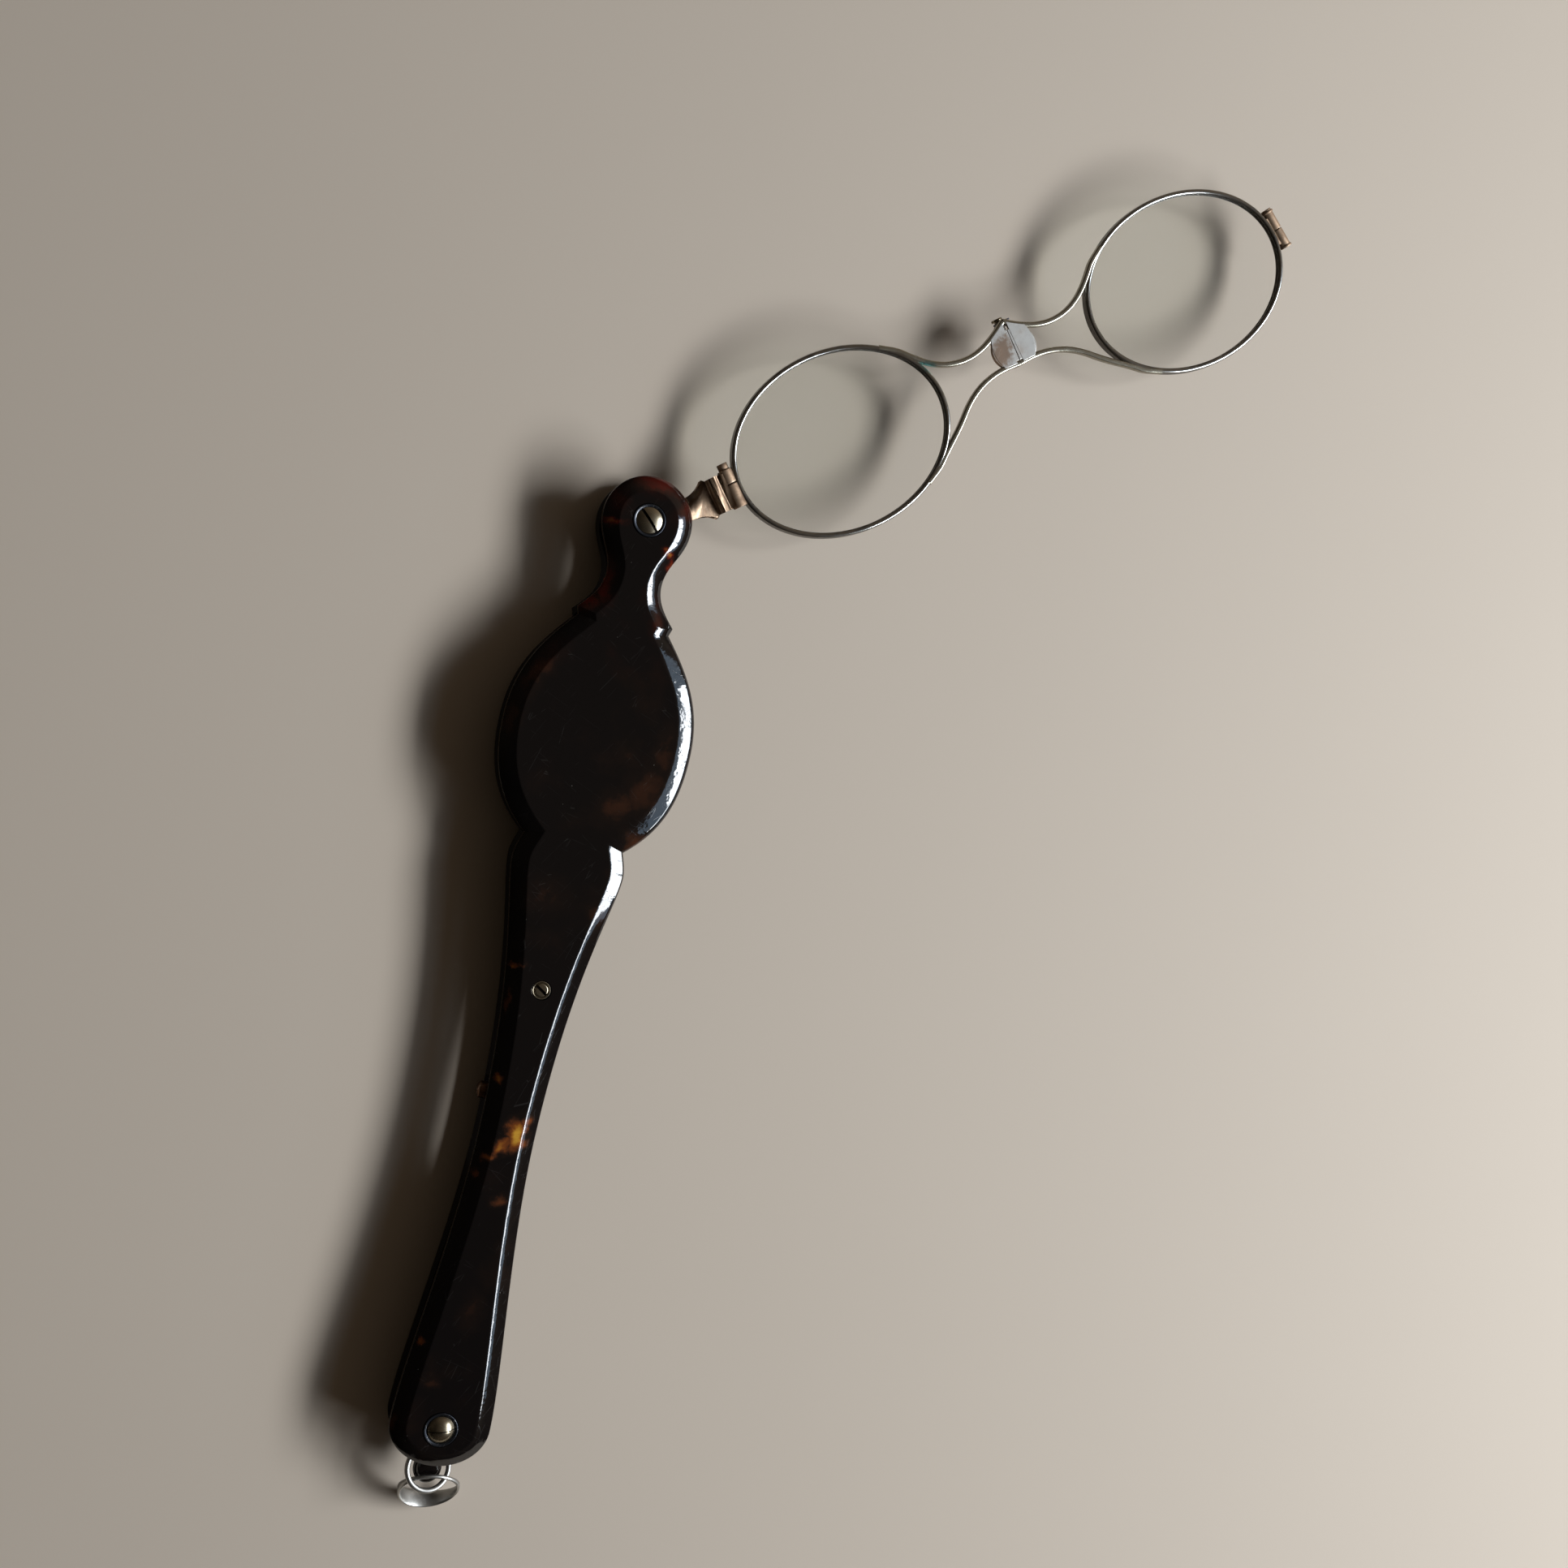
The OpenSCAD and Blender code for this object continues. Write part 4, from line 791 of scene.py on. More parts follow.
class LORGNETTE_OT_finishes(PieceOperator, bpy.types.Operator):
    """Mix the shell, metal and glass finishes that the pieces share"""

    bl_idname = "lorgnette.finishes"
    bl_label = "Finishes"

    def build(self, scene):
        look = scene.lorgnette_finish
        nickel, brass, steel, dull = (tuple(c) for c in (look.nickel, look.brass, look.steel, look.tarnish_and_shade))
        fold, join = swung(SEAM_X - 2.2, 0.6, RIM_Z), swung(48.4, 3.1, RIM_Z + 0.4)
        verdigris = [(tuple(join), (1.7, 1.0, 1.6), (0.16, 0.38, 0.37, 1))]
        browning = [(tuple(fold), (1.9, 3.2, 6.0), (0.26, 0.165, 0.105, 1))]
        # In every metal below, sides is the strength of the painted shade down its sides, and each dark
        # colour (dull for the nickel) serves both its tarnished patches and that painted shade
        FINISH.update(
            shell=tortoiseshell(look),
            nickel=worn_metal_with_painted_shade("worn nickel", nickel, dull,
                              rough=0.13, patches=0.62, sides=0.93, streak=40.0, spots=verdigris),
            plate=worn_metal_with_painted_shade("scratched nickel plate", (0.64, 0.635, 0.61, 1), (0.22, 0.155, 0.105, 1),
                             rough=0.40, patches=0.50, sides=0.80, streak=75.0, spots=browning),
            bow=worn_metal_with_painted_shade("worn nickel wire", (0.62, 0.585, 0.48, 1), (0.085, 0.065, 0.042, 1),
                           rough=0.20, patches=0.50, sides=0.66, streak=60.0, spots=verdigris),
            ring=worn_metal_with_painted_shade("satin ring metal", (0.60, 0.59, 0.56, 1), (0.07, 0.06, 0.055, 1),
                            rough=0.34, patches=0.5, sides=0.5, streak=20.0),
            brass=worn_metal_with_painted_shade("tarnished brass", brass, (0.10, 0.055, 0.036, 1),
                             rough=0.48, patches=0.70, sides=0.75, streak=125.0),
            # The screw metal also paints shade, with some dirt, into the slots laid out in SLOTS
            steel=worn_metal_with_painted_shade("aged screw metal", steel, (0.10, 0.075, 0.05, 1),
                             rough=0.20, patches=0.60, streak=10.0, slots=SLOTS),
            collar=worn_metal_with_painted_shade("dark screw collar", (0.046, 0.050, 0.060, 1), (0.010, 0.010, 0.012, 1),
                              rough=0.36, patches=0.45),
            button=worn_metal_with_painted_shade("browned button", (0.16, 0.085, 0.05, 1), (0.04, 0.018, 0.01, 1),
                              rough=0.30, patches=0.5),
            spring=worn_metal_with_painted_shade("blued spring", (0.16, 0.15, 0.17, 1), (0.03, 0.02, 0.02, 1),
                              rough=0.30, patches=0.5, sides=0.5),
            inner=worn_metal_with_painted_shade("inner brass work", tuple(0.85 * c for c in brass[:3]) + (1.0,),
                             (0.10, 0.06, 0.03, 1), rough=0.34, patches=0.6, sides=0.3),
            glass=clear_glass(),
        )


# Shares of the way up the bevel at which a scale has a row of points
BEVEL_STEPS = (0.03, 0.08, 0.16, 0.26, 0.36, 0.46, 0.56, 0.66, 0.76, 0.86, 0.94)
# Rows set in less than this stay on the outline
UPRIGHT = 0.12
# Stretches of the handle's right side, in mm below the pivot: where each begins, is full, ebbs and ends
BODY_SPAN = (14.6, 17.0, 53.0, 60.0)
BROAD_SPAN = (16.0, 19.0, 42.0, 46.0)
WAIST_SPAN = (2.6, 4.2, 7.0, 8.4)
STEP_SPAN = (11.6, 12.4, 13.4, 13.8)
# The left side is half as full as the knob, the step is less crisp than the waist, and the body's bevel is
# broader than the rest by the last share
LEFT_FULLNESS, STEP_CRISPNESS, BROADER = 0.5, 0.7, 0.13


def scale_rows(sizes):
    """Rows of a scale from its inner face outward: (inset, height, share of the way up the bevel)."""
    a, bevel, top, edge = sizes.arris, sizes.bevel, sizes.scale_t, sizes.edge_t
    rows = [(0.10, 0.0, 0), (0.04, 0.02, 0), (0.0, 0.09, 0), (0.0, edge - a, 0), (0.008, edge - 0.5 * a, 0)]
    rows += [(bevel * t, edge + (top - edge) * t, t) for t in BEVEL_STEPS]
    return rows + [(bevel - 0.03, top - 0.022, 0), (bevel + 0.05, top, 0), (bevel + 0.15, top, 0)]


def blend(value, low, high):
    """From 0 at low to 1 at high, eased at both ends."""
    t = min(max((value - low) / (high - low), 0.0), 1.0)
    return t * t * (3 - 2 * t)


def between(value, a, b, c, d):
    """From 0 at a to 1 at b, then from 1 at c to 0 at d."""
    return blend(value, a, b) * (1 - blend(value, c, d))


def knob_form(t):
    """Height in mm that the knob's bevel stands over its straight slope, t of the way in."""
    bulge, lean = 1.2, 0.6
    return bulge * t * (1 - t) * (1 - lean * t)


def body_form(t):
    """The same for the body: a well rounded outer edge, then flatter toward the face."""
    rise, rounded = 0.47, 0.12
    return rise * min(t / rounded, 1.0) ** 0.8 * (1 - t ** 1.25)


def grip_form(t):
    """The same for the grip: straight for its outer half, then rounded over to the face."""
    slope, fall, half = 0.2333, 0.9, 0.5
    return slope * t - fall * max(t - half, 0.0) ** 2


def filing(point):
    """Shares that the left, knob, body and grip forms have at a place, and the bevel's width there."""
    right = blend(point.x, -2.0, 2.0)
    down = -point.y
    body = right * between(down, *BODY_SPAN)
    # The grip's form takes over where the body's ebbs, and it also makes the waist and the step crisp
    crisp = max(between(down, *WAIST_SPAN), STEP_CRISPNESS * between(down, *STEP_SPAN),
                blend(down, *BODY_SPAN[2:]))
    grip = right * crisp
    width = 1.0 + BROADER * right * between(down, *BROAD_SPAN)
    return (1 - right, right - body - grip, body, grip), width


def circle(x, y, r, n=64):
    return [Vector((x + r * cos(2 * pi * i / n), y + r * sin(2 * pi * i / n))) for i in range(n)]


def build_scale(name, node, sizes, base, sign, holes):
    """One scale with its bores. A hole is (x, y, [(radius, height over the inner face) ...], blind)."""
    bm = bmesh.new()

    def loop(points, z):
        return [bm.verts.new((p.x * MM, p.y * MM, z * MM)) for p in points]

    def skin(a, b):
        for i in range(len(a)):
            j = (i + 1) % len(a)
            bm.faces.new((a[i], a[j], b[j], b[i]))

    def edges_of(ring):
        return [bm.edges.get((ring[i], ring[i - 1])) for i in range(len(ring))]

    outer_line = handle_outline()
    forms = [filing(q) for q in outer_line]
    swell = sizes.crown / CROWN
    rings = []
    for d, h, t in scale_rows(sizes):
        ring = []
        for p, q, (shares, width) in zip(handle_outline(d), outer_line, forms):
            left, knob, body, grip = shares
            bulge = (LEFT_FULLNESS * left + knob) * knob_form(t) + body * body_form(t) + grip * grip_form(t)
            z = base + sign * (h + (swell * bulge if t else 0.0))
            p = q + (p - q) * (width if d > UPRIGHT else 1.0)
            ring.append(bm.verts.new((p.x * MM, p.y * MM, z * MM)))
        rings.append(ring)
    for a, b in zip(rings, rings[1:]):
        skin(a, b)
    inner, outer = edges_of(rings[0]), edges_of(rings[-1])
    for x, y, steps, blind in holes:
        stack = [loop(circle(x, y, r), base + sign * h) for r, h in steps]
        for a, b in zip(stack, stack[1:]):
            skin(a, b)
        inner += edges_of(stack[0])
        if blind:
            bm.faces.new(stack[-1])
        else:
            outer += edges_of(stack[-1])
    for group in (inner, outer):
        bmesh.ops.triangle_fill(bm, use_beauty=True, edges=group, normal=(0, 0, 1))
    bmesh.ops.recalc_face_normals(bm, faces=bm.faces)
    mesh = bpy.data.meshes.new(name)
    bm.to_mesh(mesh)
    bm.free()
    shade(mesh, 24.0)
    finish_piece(link(name, mesh), node, FINISH["shell"])


class LORGNETTE_OT_scales(PieceOperator, bpy.types.Operator):
    """Make the two bevelled shell scales with their bores"""

    bl_idname = "lorgnette.scales"
    bl_label = "Shell scales"

    def build(self, scene):
        sizes = scene.lorgnette_handle
        top, chamfer = sizes.scale_t, 0.07

        def head(x, y, bore, seat, sink):
            seat_h = top - sink
            return (x, y, [(bore + SEAT_FIT, 0.0), (bore + SEAT_FIT, seat_h), (seat, seat_h),
                           (seat, top - chamfer), (seat + chamfer, top)], False)

        def socket(x, y, radius, depth):
            return (x, y, [(radius, 0.0), (radius, depth)], True)

        pin = socket(LEVER_PIN_X, LEVER_PIN_Y, 0.83, 1.1)
        stop = socket(*toward(STOP_HEADING, STOP_REACH), 0.58, 1.2)
        bores = ((0, BARREL_R), (-MIDDLE_Y, SLEEVE_R), (-TAIL_Y, SLEEVE_R))
        build_scale("upper_shell", "upper_scale", sizes, UPPER_Z, 1, [
            head(0, 0, BARREL_R, PIVOT_CUP_R + SEAT_FIT, CUP_SINK),
            head(0, -MIDDLE_Y, SLEEVE_R, MIDDLE_HEAD_R + 2 * SEAT_FIT, MIDDLE_SINK),
            head(0, -TAIL_Y, SLEEVE_R, TAIL_CUP_R + SEAT_FIT, CUP_SINK), pin])
        build_scale("lower_shell", "lower_scale", sizes, SCALE_T, -1, [
            *(head(0, y, bore, NUT_HEAD_R + SEAT_FIT, NUT_HEAD_T) for y, bore in bores), pin, stop])


class LORGNETTE_OT_tail(PieceOperator, bpy.types.Operator):
    """Make the shell spacer with its domed tongue"""

    bl_idname = "lorgnette.tail"
    bl_label = "Tail spacer"

    def build(self, scene):
        tongue = softened("tail_spacer", "tail_tongue", FINISH["shell"], 0.22, 3)
        half_width, half_length, rise, power, dome_y = 2.0, 2.1, 1.14, 2.6, 136.25
        profile = [(0.0, -rise)]
        for turn in range(-85, 90, 5):
            across, up = cos(radians(turn)) ** (2 / power), abs(sin(radians(turn))) ** (2 / power)
            profile.append((across, math.copysign(rise * up, turn)))
        points, faces = turned(profile + [(0.0, rise)], 72)
        lay = Matrix.Translation((0, -dome_y, MID_Z)) @ Matrix.Diagonal((half_width, half_length, 1, 1))
        dome = mesh_from("tongue dome", moved_points(points, lay), faces)
        close_up(dome)
        merged(tongue, dome, FINISH["shell"])


def domed_blank(head_r, head_t, rise):
    """Half section of a screw whose head is a dome."""
    ball = (head_r ** 2 + rise ** 2) / (2 * rise)
    centre, steps = head_t + rise - ball, 14
    section = [(0.0, -SHANK_L), (SHANK_R, -SHANK_L), (SHANK_R, 0.0), (head_r, 0.0), (head_r, head_t)]
    for i in range(1, steps):
        r = head_r * (1 - i / steps)
        section.append((r, centre + math.sqrt(ball ** 2 - r ** 2)))
    return [Vector(q) for q in section] + [Vector((0.0, head_t + rise))]


def ringed_blank(head_r, top):
    """Half section of a flush screw with a ring turned in its head."""
    section = [(0.0, -SHANK_L), (SHANK_R, -SHANK_L), (SHANK_R, 0.0), (head_r, 0.0), (head_r, top - 0.06)]
    section += [(1.16, top - 0.02), (1.06, top - 0.12), (1.02, top - 0.3), (0.95, top - 0.3)]
    return eased(section + [(0.93, top - 0.06), (0.80, top), (0.0, top)], 0.05)


def collar_section(head_r, rim):
    """Closed half section of the collar that a domed head sits in."""
    bore, well = SHANK_R + SEAT_FIT, head_r + SEAT_FIT
    z0, z1 = TOTAL_T - CUP_SINK, TOTAL_T + CUP_PROUD
    section = [(bore, z0), (rim, z0), (rim, z1 - 0.08), (rim - 0.1, z1), (rim - 0.25, z1 - 0.03),
               (well + 0.04, z1 - 0.10), (well, z1 - 0.16), (well, z0 + CUP_FLOOR), (bore, z0 + CUP_FLOOR)]
    return eased(section, 0.05, 2) + [Vector((bore, z0))]


class LORGNETTE_OT_screws(PieceOperator, bpy.types.Operator):
    """Turn and slot the three case screws, and their collars"""

    bl_idname = "lorgnette.screws"
    bl_label = "Case screws"

    def build(self, scene):
        tree = slotted_screw_tree()
        seat, head_t = TOTAL_T - CUP_SINK + CUP_FLOOR, CUP_SINK - CUP_FLOOR
        middle_t, pivot_rise, tail_rise, slot_depth, softness = MIDDLE_SINK - 0.1, 0.45, 0.95, 0.42, 0.045
        screws = (
            ("pivot_screw", seat, head_t + pivot_rise, domed_blank(PIVOT_HEAD_R, head_t, pivot_rise)),
            ("middle_screw", TOTAL_T - MIDDLE_SINK, middle_t, ringed_blank(MIDDLE_HEAD_R, middle_t)),
            ("tail_screw", seat, head_t + tail_rise, domed_blank(TAIL_HEAD_R, head_t, tail_rise)),
        )
        for (node, seat_z, top, blank), (y, half, wide, turn) in zip(screws, SLOTS):
            mesh = mesh_from(node + "_blank", *turned(blank, 72))
            close_up(mesh)
            obj = link("case_" + node, mesh)
            tree.apply(obj, Slot_width=wide * MM, Slot_depth=slot_depth * MM, Slot_length=2 * half * MM,
                       Top=top * MM, Turn=radians(turn), Place=(0.0, y * MM, seat_z * MM),
                       Material=FINISH["steel"])
            edge = obj.modifiers.new("eased slot", "BEVEL")
            edge.width, edge.segments, edge.angle_limit = softness * MM, 2, radians(38)
            edge.harden_normals = True
            obj.data.shade_smooth()
            baked(obj)
            finish_piece(obj, node, FINISH["steel"])
        collars = (("pivot_cup", 0.0, PIVOT_HEAD_R, PIVOT_CUP_R),
                   ("tail_cup", -TAIL_Y, TAIL_HEAD_R, TAIL_CUP_R))
        for node, y, head_r, rim in collars:
            points, faces = turned(collar_section(head_r, rim), 96)
            mesh = mesh_from("collar", moved_points(points, Matrix.Translation((0, y, 0))), faces)
            close_up(mesh)
            shade(mesh, 40)
            finish_piece(link("collar_" + node, mesh), node, FINISH["collar"])


class LORGNETTE_OT_nuts(PieceOperator, bpy.types.Operator):
    """Ease the sleeve nuts that show on the back"""

    bl_idname = "lorgnette.nuts"
    bl_label = "Sleeve nuts"

    def build(self, scene):
        for node in ("pivot_barrel", "middle_nut", "tail_nut"):
            softened(node, "back_" + node, FINISH["steel"], 0.07)


def oval(rx, ry, n=192):
    return [Vector((rx * cos(2 * pi * i / n), ry * sin(2 * pi * i / n))) for i in range(n)]


def barrel(radius, y0, y1, matrix, ease=0.14):
    """Turned barrel lying across the glasses between y0 and y1."""
    points, faces = turned(eased([(0, 0), (radius, 0), (radius, y1 - y0), (0, y1 - y0)], ease, 4), 40)
    lay = matrix @ Matrix.Translation((0, y1, 0)) @ Matrix.Rotation(radians(90), 4, "X")
    return moved_points(points, lay), faces


def joined(name, parts):
    """One mesh from several (points, faces), in mm."""
    points, faces = [], []
    for more, those in parts:
        faces += [[len(points) + i for i in f] for f in those]
        points += more
    mesh = mesh_from(name, points, faces)
    close_up(mesh)
    shade(mesh, 38)
    return mesh


def merged(obj, extra, material, angle=38):
    """Another mesh added to an object's own, with its own finish."""
    bm = bmesh.new()
    bm.from_mesh(obj.data)
    kept = len(bm.faces)
    bm.from_mesh(extra)
    bm.faces.ensure_lookup_table()
    for face in bm.faces[kept:]:
        face.material_index = 1
    bm.to_mesh(obj.data)
    bm.free()
    obj.data.materials.append(material)
    shade(obj.data, angle)


class LORGNETTE_OT_eyewires(PieceOperator, bpy.types.Operator):
    """Form the two eyewires and their closing lugs"""

    bl_idname = "lorgnette.eyewires"
    bl_label = "Eyewires"

    def build(self, scene):
        sizes = scene.lorgnette_glasses
        tree = formed_wire_tree()
        split, bead_r, bead_hl, drop = 0.07, 1.1, 2.85, 0.8
        bead_x, parting = NEAR_X - LUG_RX - bead_r + 0.15, drop - 0.1
        at_bead = SWUNG @ Matrix.Translation((bead_x, -drop, RIM_Z))
        lug_r, flange_r, lug_hl, flange_y, web_hl, lug_turn = 0.82, 0.95, 3.1, 2.8, 2.2, 8.5
        at_lug = (SWUNG @ Matrix.Translation((FAR_X + LUG_RX + 1.15, 0, RIM_Z))
                  @ Matrix.Rotation(radians(lug_turn), 4, "Z"))
        lugs = {
            "near": [barrel(bead_r, -bead_hl, parting - split, at_bead),
                     barrel(bead_r, parting + split, bead_hl, at_bead)],
            "far": [barrel(lug_r, -lug_hl, -split, at_lug, 0.06),
                    barrel(lug_r, split, lug_hl, at_lug, 0.06),
                    barrel(flange_r, -lug_hl, -flange_y, at_lug, 0.07),
                    barrel(flange_r, flange_y, lug_hl, at_lug, 0.07)],
        }
        webs = {"near": [], "far": [(-web_hl, -split), (split, web_hl)]}
        web_x, web_z, groove, groove_h = (-1.3, -0.3), (-0.45, 0.45), 0.4, 0.86
        quads = [(0, 1, 3, 2), (4, 6, 7, 5), (0, 4, 5, 1), (2, 3, 7, 6), (0, 2, 6, 4), (1, 5, 7, 3)]
        for side, centre in (("near", NEAR_X), ("far", FAR_X)):
            inset = sizes.rim_width / 2
            line = oval(OVAL_RX - inset, OVAL_RY - inset)
            path = [swung(centre + p.x, p.y - OVAL_DROP, RIM_Z) for p in line]
            n = len(path)
            mesh = mesh_from("eyewire path", path, [], [(i, (i + 1) % n) for i in range(n)])
            obj = tree.apply(link(side + "_eyewire", mesh), Width=sizes.rim_width * MM,
                             Depth=sizes.rim_depth * MM, Rounding=sizes.rim_round * MM,
                             Groove=groove * MM, Groove_height=groove_h * MM, Material=FINISH["nickel"])
            close_up(obj.data)
            parts = list(lugs[side])
            for y0, y1 in webs[side]:
                box = [(x, y, z) for x in web_x for y in (y0, y1) for z in web_z]
                parts.append((moved_points(box, at_lug), quads))
            merged(obj, joined("lugs", parts), FINISH["brass"])
            finish_piece(obj, side + "_rim")


class LORGNETTE_OT_lenses(PieceOperator, bpy.types.Operator):
    """Grind the two oval lenses"""

    bl_idname = "lorgnette.lenses"
    bl_label = "Lenses"

    def build(self, scene):
        crown = scene.lorgnette_glasses.lens_crown
        edge_z, ground, n = 0.40, 1.5, 128
        rows = [(0.5, -0.38), (0.5, 0.38), (0.75, edge_z), (1.0, edge_z), (ground, edge_z + 0.01)]
        shares = (0.93, 0.8, 0.65, 0.5, 0.35, 0.2, 0.1)
        half = [(t, edge_z + crown * (1 - t * t)) for t in shares]
        for side, centre in (("near", NEAR_X), ("far", FAR_X)):
            points, rings = [], []

            def ring(rx, ry, z):
                rings.append(len(points))
                points.extend(swung(centre + q.x, q.y - OVAL_DROP, RIM_Z + z) for q in oval(rx, ry, n))

            for t, z in reversed(half):
                ring(t * (OVAL_RX - ground), t * (OVAL_RY - ground), -z)
            for inset, z in reversed(rows[2:]):
                ring(OVAL_RX - inset, OVAL_RY - inset, -z)
            for inset, z in rows:
                ring(OVAL_RX - inset, OVAL_RY - inset, z)
            for t, z in half:
                ring(t * (OVAL_RX - ground), t * (OVAL_RY - ground), z)
            faces = [(a + i, a + (i + 1) % n, b + (i + 1) % n, b + i)
                     for a, b in zip(rings, rings[1:]) for i in range(n)]
            for start, z in ((rings[0], -edge_z - crown), (rings[-1], edge_z + crown)):
                middle = len(points)
                points.append(swung(centre, -OVAL_DROP, RIM_Z + z))
                faces += [(start + i, start + (i + 1) % n, middle) for i in range(n)]
            mesh = mesh_from(side + "_glass", points, faces)
            close_up(mesh)
            shade(mesh, 35)
            finish_piece(link(side + "_glass", mesh), side + "_lens", FINISH["glass"])


def on_rim(turn, sink):
    """Place on the near eyewire at this angle round its oval, sunk into it."""
    return Vector((NEAR_X + (OVAL_RX - sink) * cos(radians(turn)),
                   -OVAL_DROP + (OVAL_RY - sink) * sin(radians(turn))))


def rim_heading(turn):
    """Heading of the eyewire there, in degrees."""
    return math.degrees(math.atan2(OVAL_RY * cos(radians(turn)), -OVAL_RX * sin(radians(turn))))


def bow_lines():
    """Middle lines of the upper and lower bow of the near half, in the glasses' frame."""
    end = SEAM_X - 0.03
    upper = [
        smooth(on_rim(50, 0.3), rim_heading(50) - 180, 0, 1.3),
        smooth(on_rim(36, 0), rim_heading(36) - 180, 1.3, 3.4),
        smooth((SEAM_X - 7.5, 1.85), 0, 4.0, 3.0),
        smooth((end, 4.65), 33, 2.2, 0),
    ]
    lower = [
        smooth(on_rim(-56, 0.3), rim_heading(-56), 0, 1.3),
        smooth(on_rim(-42, 0), rim_heading(-42), 1.3, 2.5),
        smooth((NEAR_X + OVAL_RX + 1.8, -OVAL_DROP - 4.0), 42, 3.4, 2.6),
        smooth((SEAM_X - 4.1, -1.9), 8, 3.0, 1.3),
        smooth((end, -1.9), -4, 1.3, 0),
    ]
    return whole_line(upper, [8, 26, 20]), whole_line(lower, [8, 18, 18, 8])


class LORGNETTE_OT_bows(PieceOperator, bpy.types.Operator):
    """Bend the four bow wires of the bridge"""

    bl_idname = "lorgnette.bows"
    bl_label = "Bows"

    def build(self, scene):
        sizes = scene.lorgnette_glasses
        tree = formed_wire_tree()
        mid = BOW_Z + sizes.bow_depth / 2
        for level, line in zip(("upper", "lower"), bow_lines()):
            for side in ("near", "far"):
                path = [swung(p.x if side == "near" else 2 * SEAM_X - p.x, p.y, mid) for p in line]
                mesh = mesh_from("bow path", path, [], [(i, i + 1) for i in range(len(path) - 1)])
                obj = tree.apply(link(f"{side}_{level}_wire", mesh), Width=sizes.bow_width * MM,
                                 Depth=sizes.bow_depth * MM, Rounding=sizes.bow_round * MM,
                                 Material=FINISH["bow"])
                close_up(obj.data)
                shade(obj.data, 50)
                finish_piece(obj, f"{side}_{level}_bow", FINISH["bow"])


def plate_corner():
    """Outline of the small corner of the near hinge plate that the upper bow's end leaves open."""
    gap, upper_l, lower_l, bulge = 0.05, 3.3, 2.9, Vector((SEAM_X - 3.95, 0.3))
    upper, lower = bow_lines()
    upper = [p for p in upper if SEAM_X - upper_l <= p.x <= SEAM_X - gap]
    lower = [p for p in lower if SEAM_X - lower_l <= p.x <= SEAM_X - gap]
    edge = [(1 - t) ** 2 * lower[0] + 2 * t * (1 - t) * bulge + t * t * upper[0]
            for t in (k / 10 for k in range(1, 10))]
    return upper + lower[::-1] + edge


def wind_spring():
    """The coil spring of the hinge, wound with round wire and with two straight legs."""
    coil_l, wire, turns, coil_r, leg, start = 1.75, 0.24, 5, 0.69, 1.6, 3.12
    pitch, steps = (coil_l - wire) / turns, 28
    line = [(-leg, wire / 2, coil_r)]
    for i in range(turns * steps + 1):
        a = 2 * pi * i / steps
        line.append((coil_r * sin(a), wire / 2 + pitch * i / steps, coil_r * cos(a)))
    line.append((leg, coil_l - wire / 2, coil_r))
    path = [swung(SEAM_X + x, start + y, MID_Z + z) for x, y, z in line]
    mesh = mesh_from("spring path", path, [], [(i, i + 1) for i in range(len(path) - 1)])
    obj = round_wire_tree().apply(link("bridge_spring", mesh), Radius=wire / 2 * MM, Sides=12,
                                  Material=FINISH["spring"])
    close_up(obj.data)
    shade(obj.data, 50)
    finish_piece(obj, "hinge_spring", FINISH["spring"])


class LORGNETTE_OT_hinge(PieceOperator, bpy.types.Operator):
    """Ease the hinge plates and pin, and wind the hinge spring"""

    bl_idname = "lorgnette.hinge"
    bl_label = "Bridge hinge"

    def build(self, scene):
        face_z, line = (6.30, 6.79), plate_corner()
        for side in ("near", "far"):
            plate = softened(side + "_plate", side + "_hinge_plate", FINISH["plate"], 0.09)
            turned_line = [p if side == "near" else Vector((2 * SEAM_X - p.x, p.y)) for p in line]
            n = len(line)
            points = [swung(p.x, p.y, z) for z in face_z for p in turned_line]
            faces = [list(range(n)), list(range(n, 2 * n))]
            faces += [(i, (i + 1) % n, n + (i + 1) % n, n + i) for i in range(n)]
            skin = link("plate face", mesh_from("plate face", points, faces))
            close_up(skin.data)
            bevel = skin.modifiers.new("eased edges", "BEVEL")
            bevel.width, bevel.segments, bevel.angle_limit = 0.04 * MM, 2, radians(50)
            baked(skin)
            merged(plate, skin.data, FINISH["plate"], 20)
            bpy.data.objects.remove(skin)
        softened("hinge_pin", "bridge_pin", FINISH["steel"], 0.09, 3)
        wind_spring()


class LORGNETTE_OT_stem(PieceOperator, bpy.types.Operator):
    """Ease the brass stem and the two closing screws"""

    bl_idname = "lorgnette.stem"
    bl_label = "Stem and closing screws"

    def build(self, scene):
        softened("stem", "brass_stem", FINISH["brass"], 0.16, 3)
        softened("near_closing_screw", "near_lug_screw", FINISH["brass"], 0.06)
        softened("far_closing_screw", "far_lug_screw", FINISH["brass"], 0.05)


class LORGNETTE_OT_works(PieceOperator, bpy.types.Operator):
    """Finish the button, lever, springs, washers, sleeve and pins of the case"""

    bl_idname = "lorgnette.works"
    bl_label = "Inner works"

    def build(self, scene):
        softened("side_button", "release_button", FINISH["button"], 0.12, 3)
        softened("release_lever", "release_arm", FINISH["steel"], 0.08)
        softened("lever_spring", "release_spring", FINISH["spring"], 0.04, 1)
        for node in ("upper_washer", "lower_washer", "middle_sleeve"):
            softened(node, "inner_" + node, FINISH["inner"], 0.06)
        softened("tension_washer", "inner_tension_washer", FINISH["spring"], 0.04, 1)
        for node in ("stop_pin", "lever_pin"):
            softened(node, "inner_" + node, FINISH["steel"], 0.05)


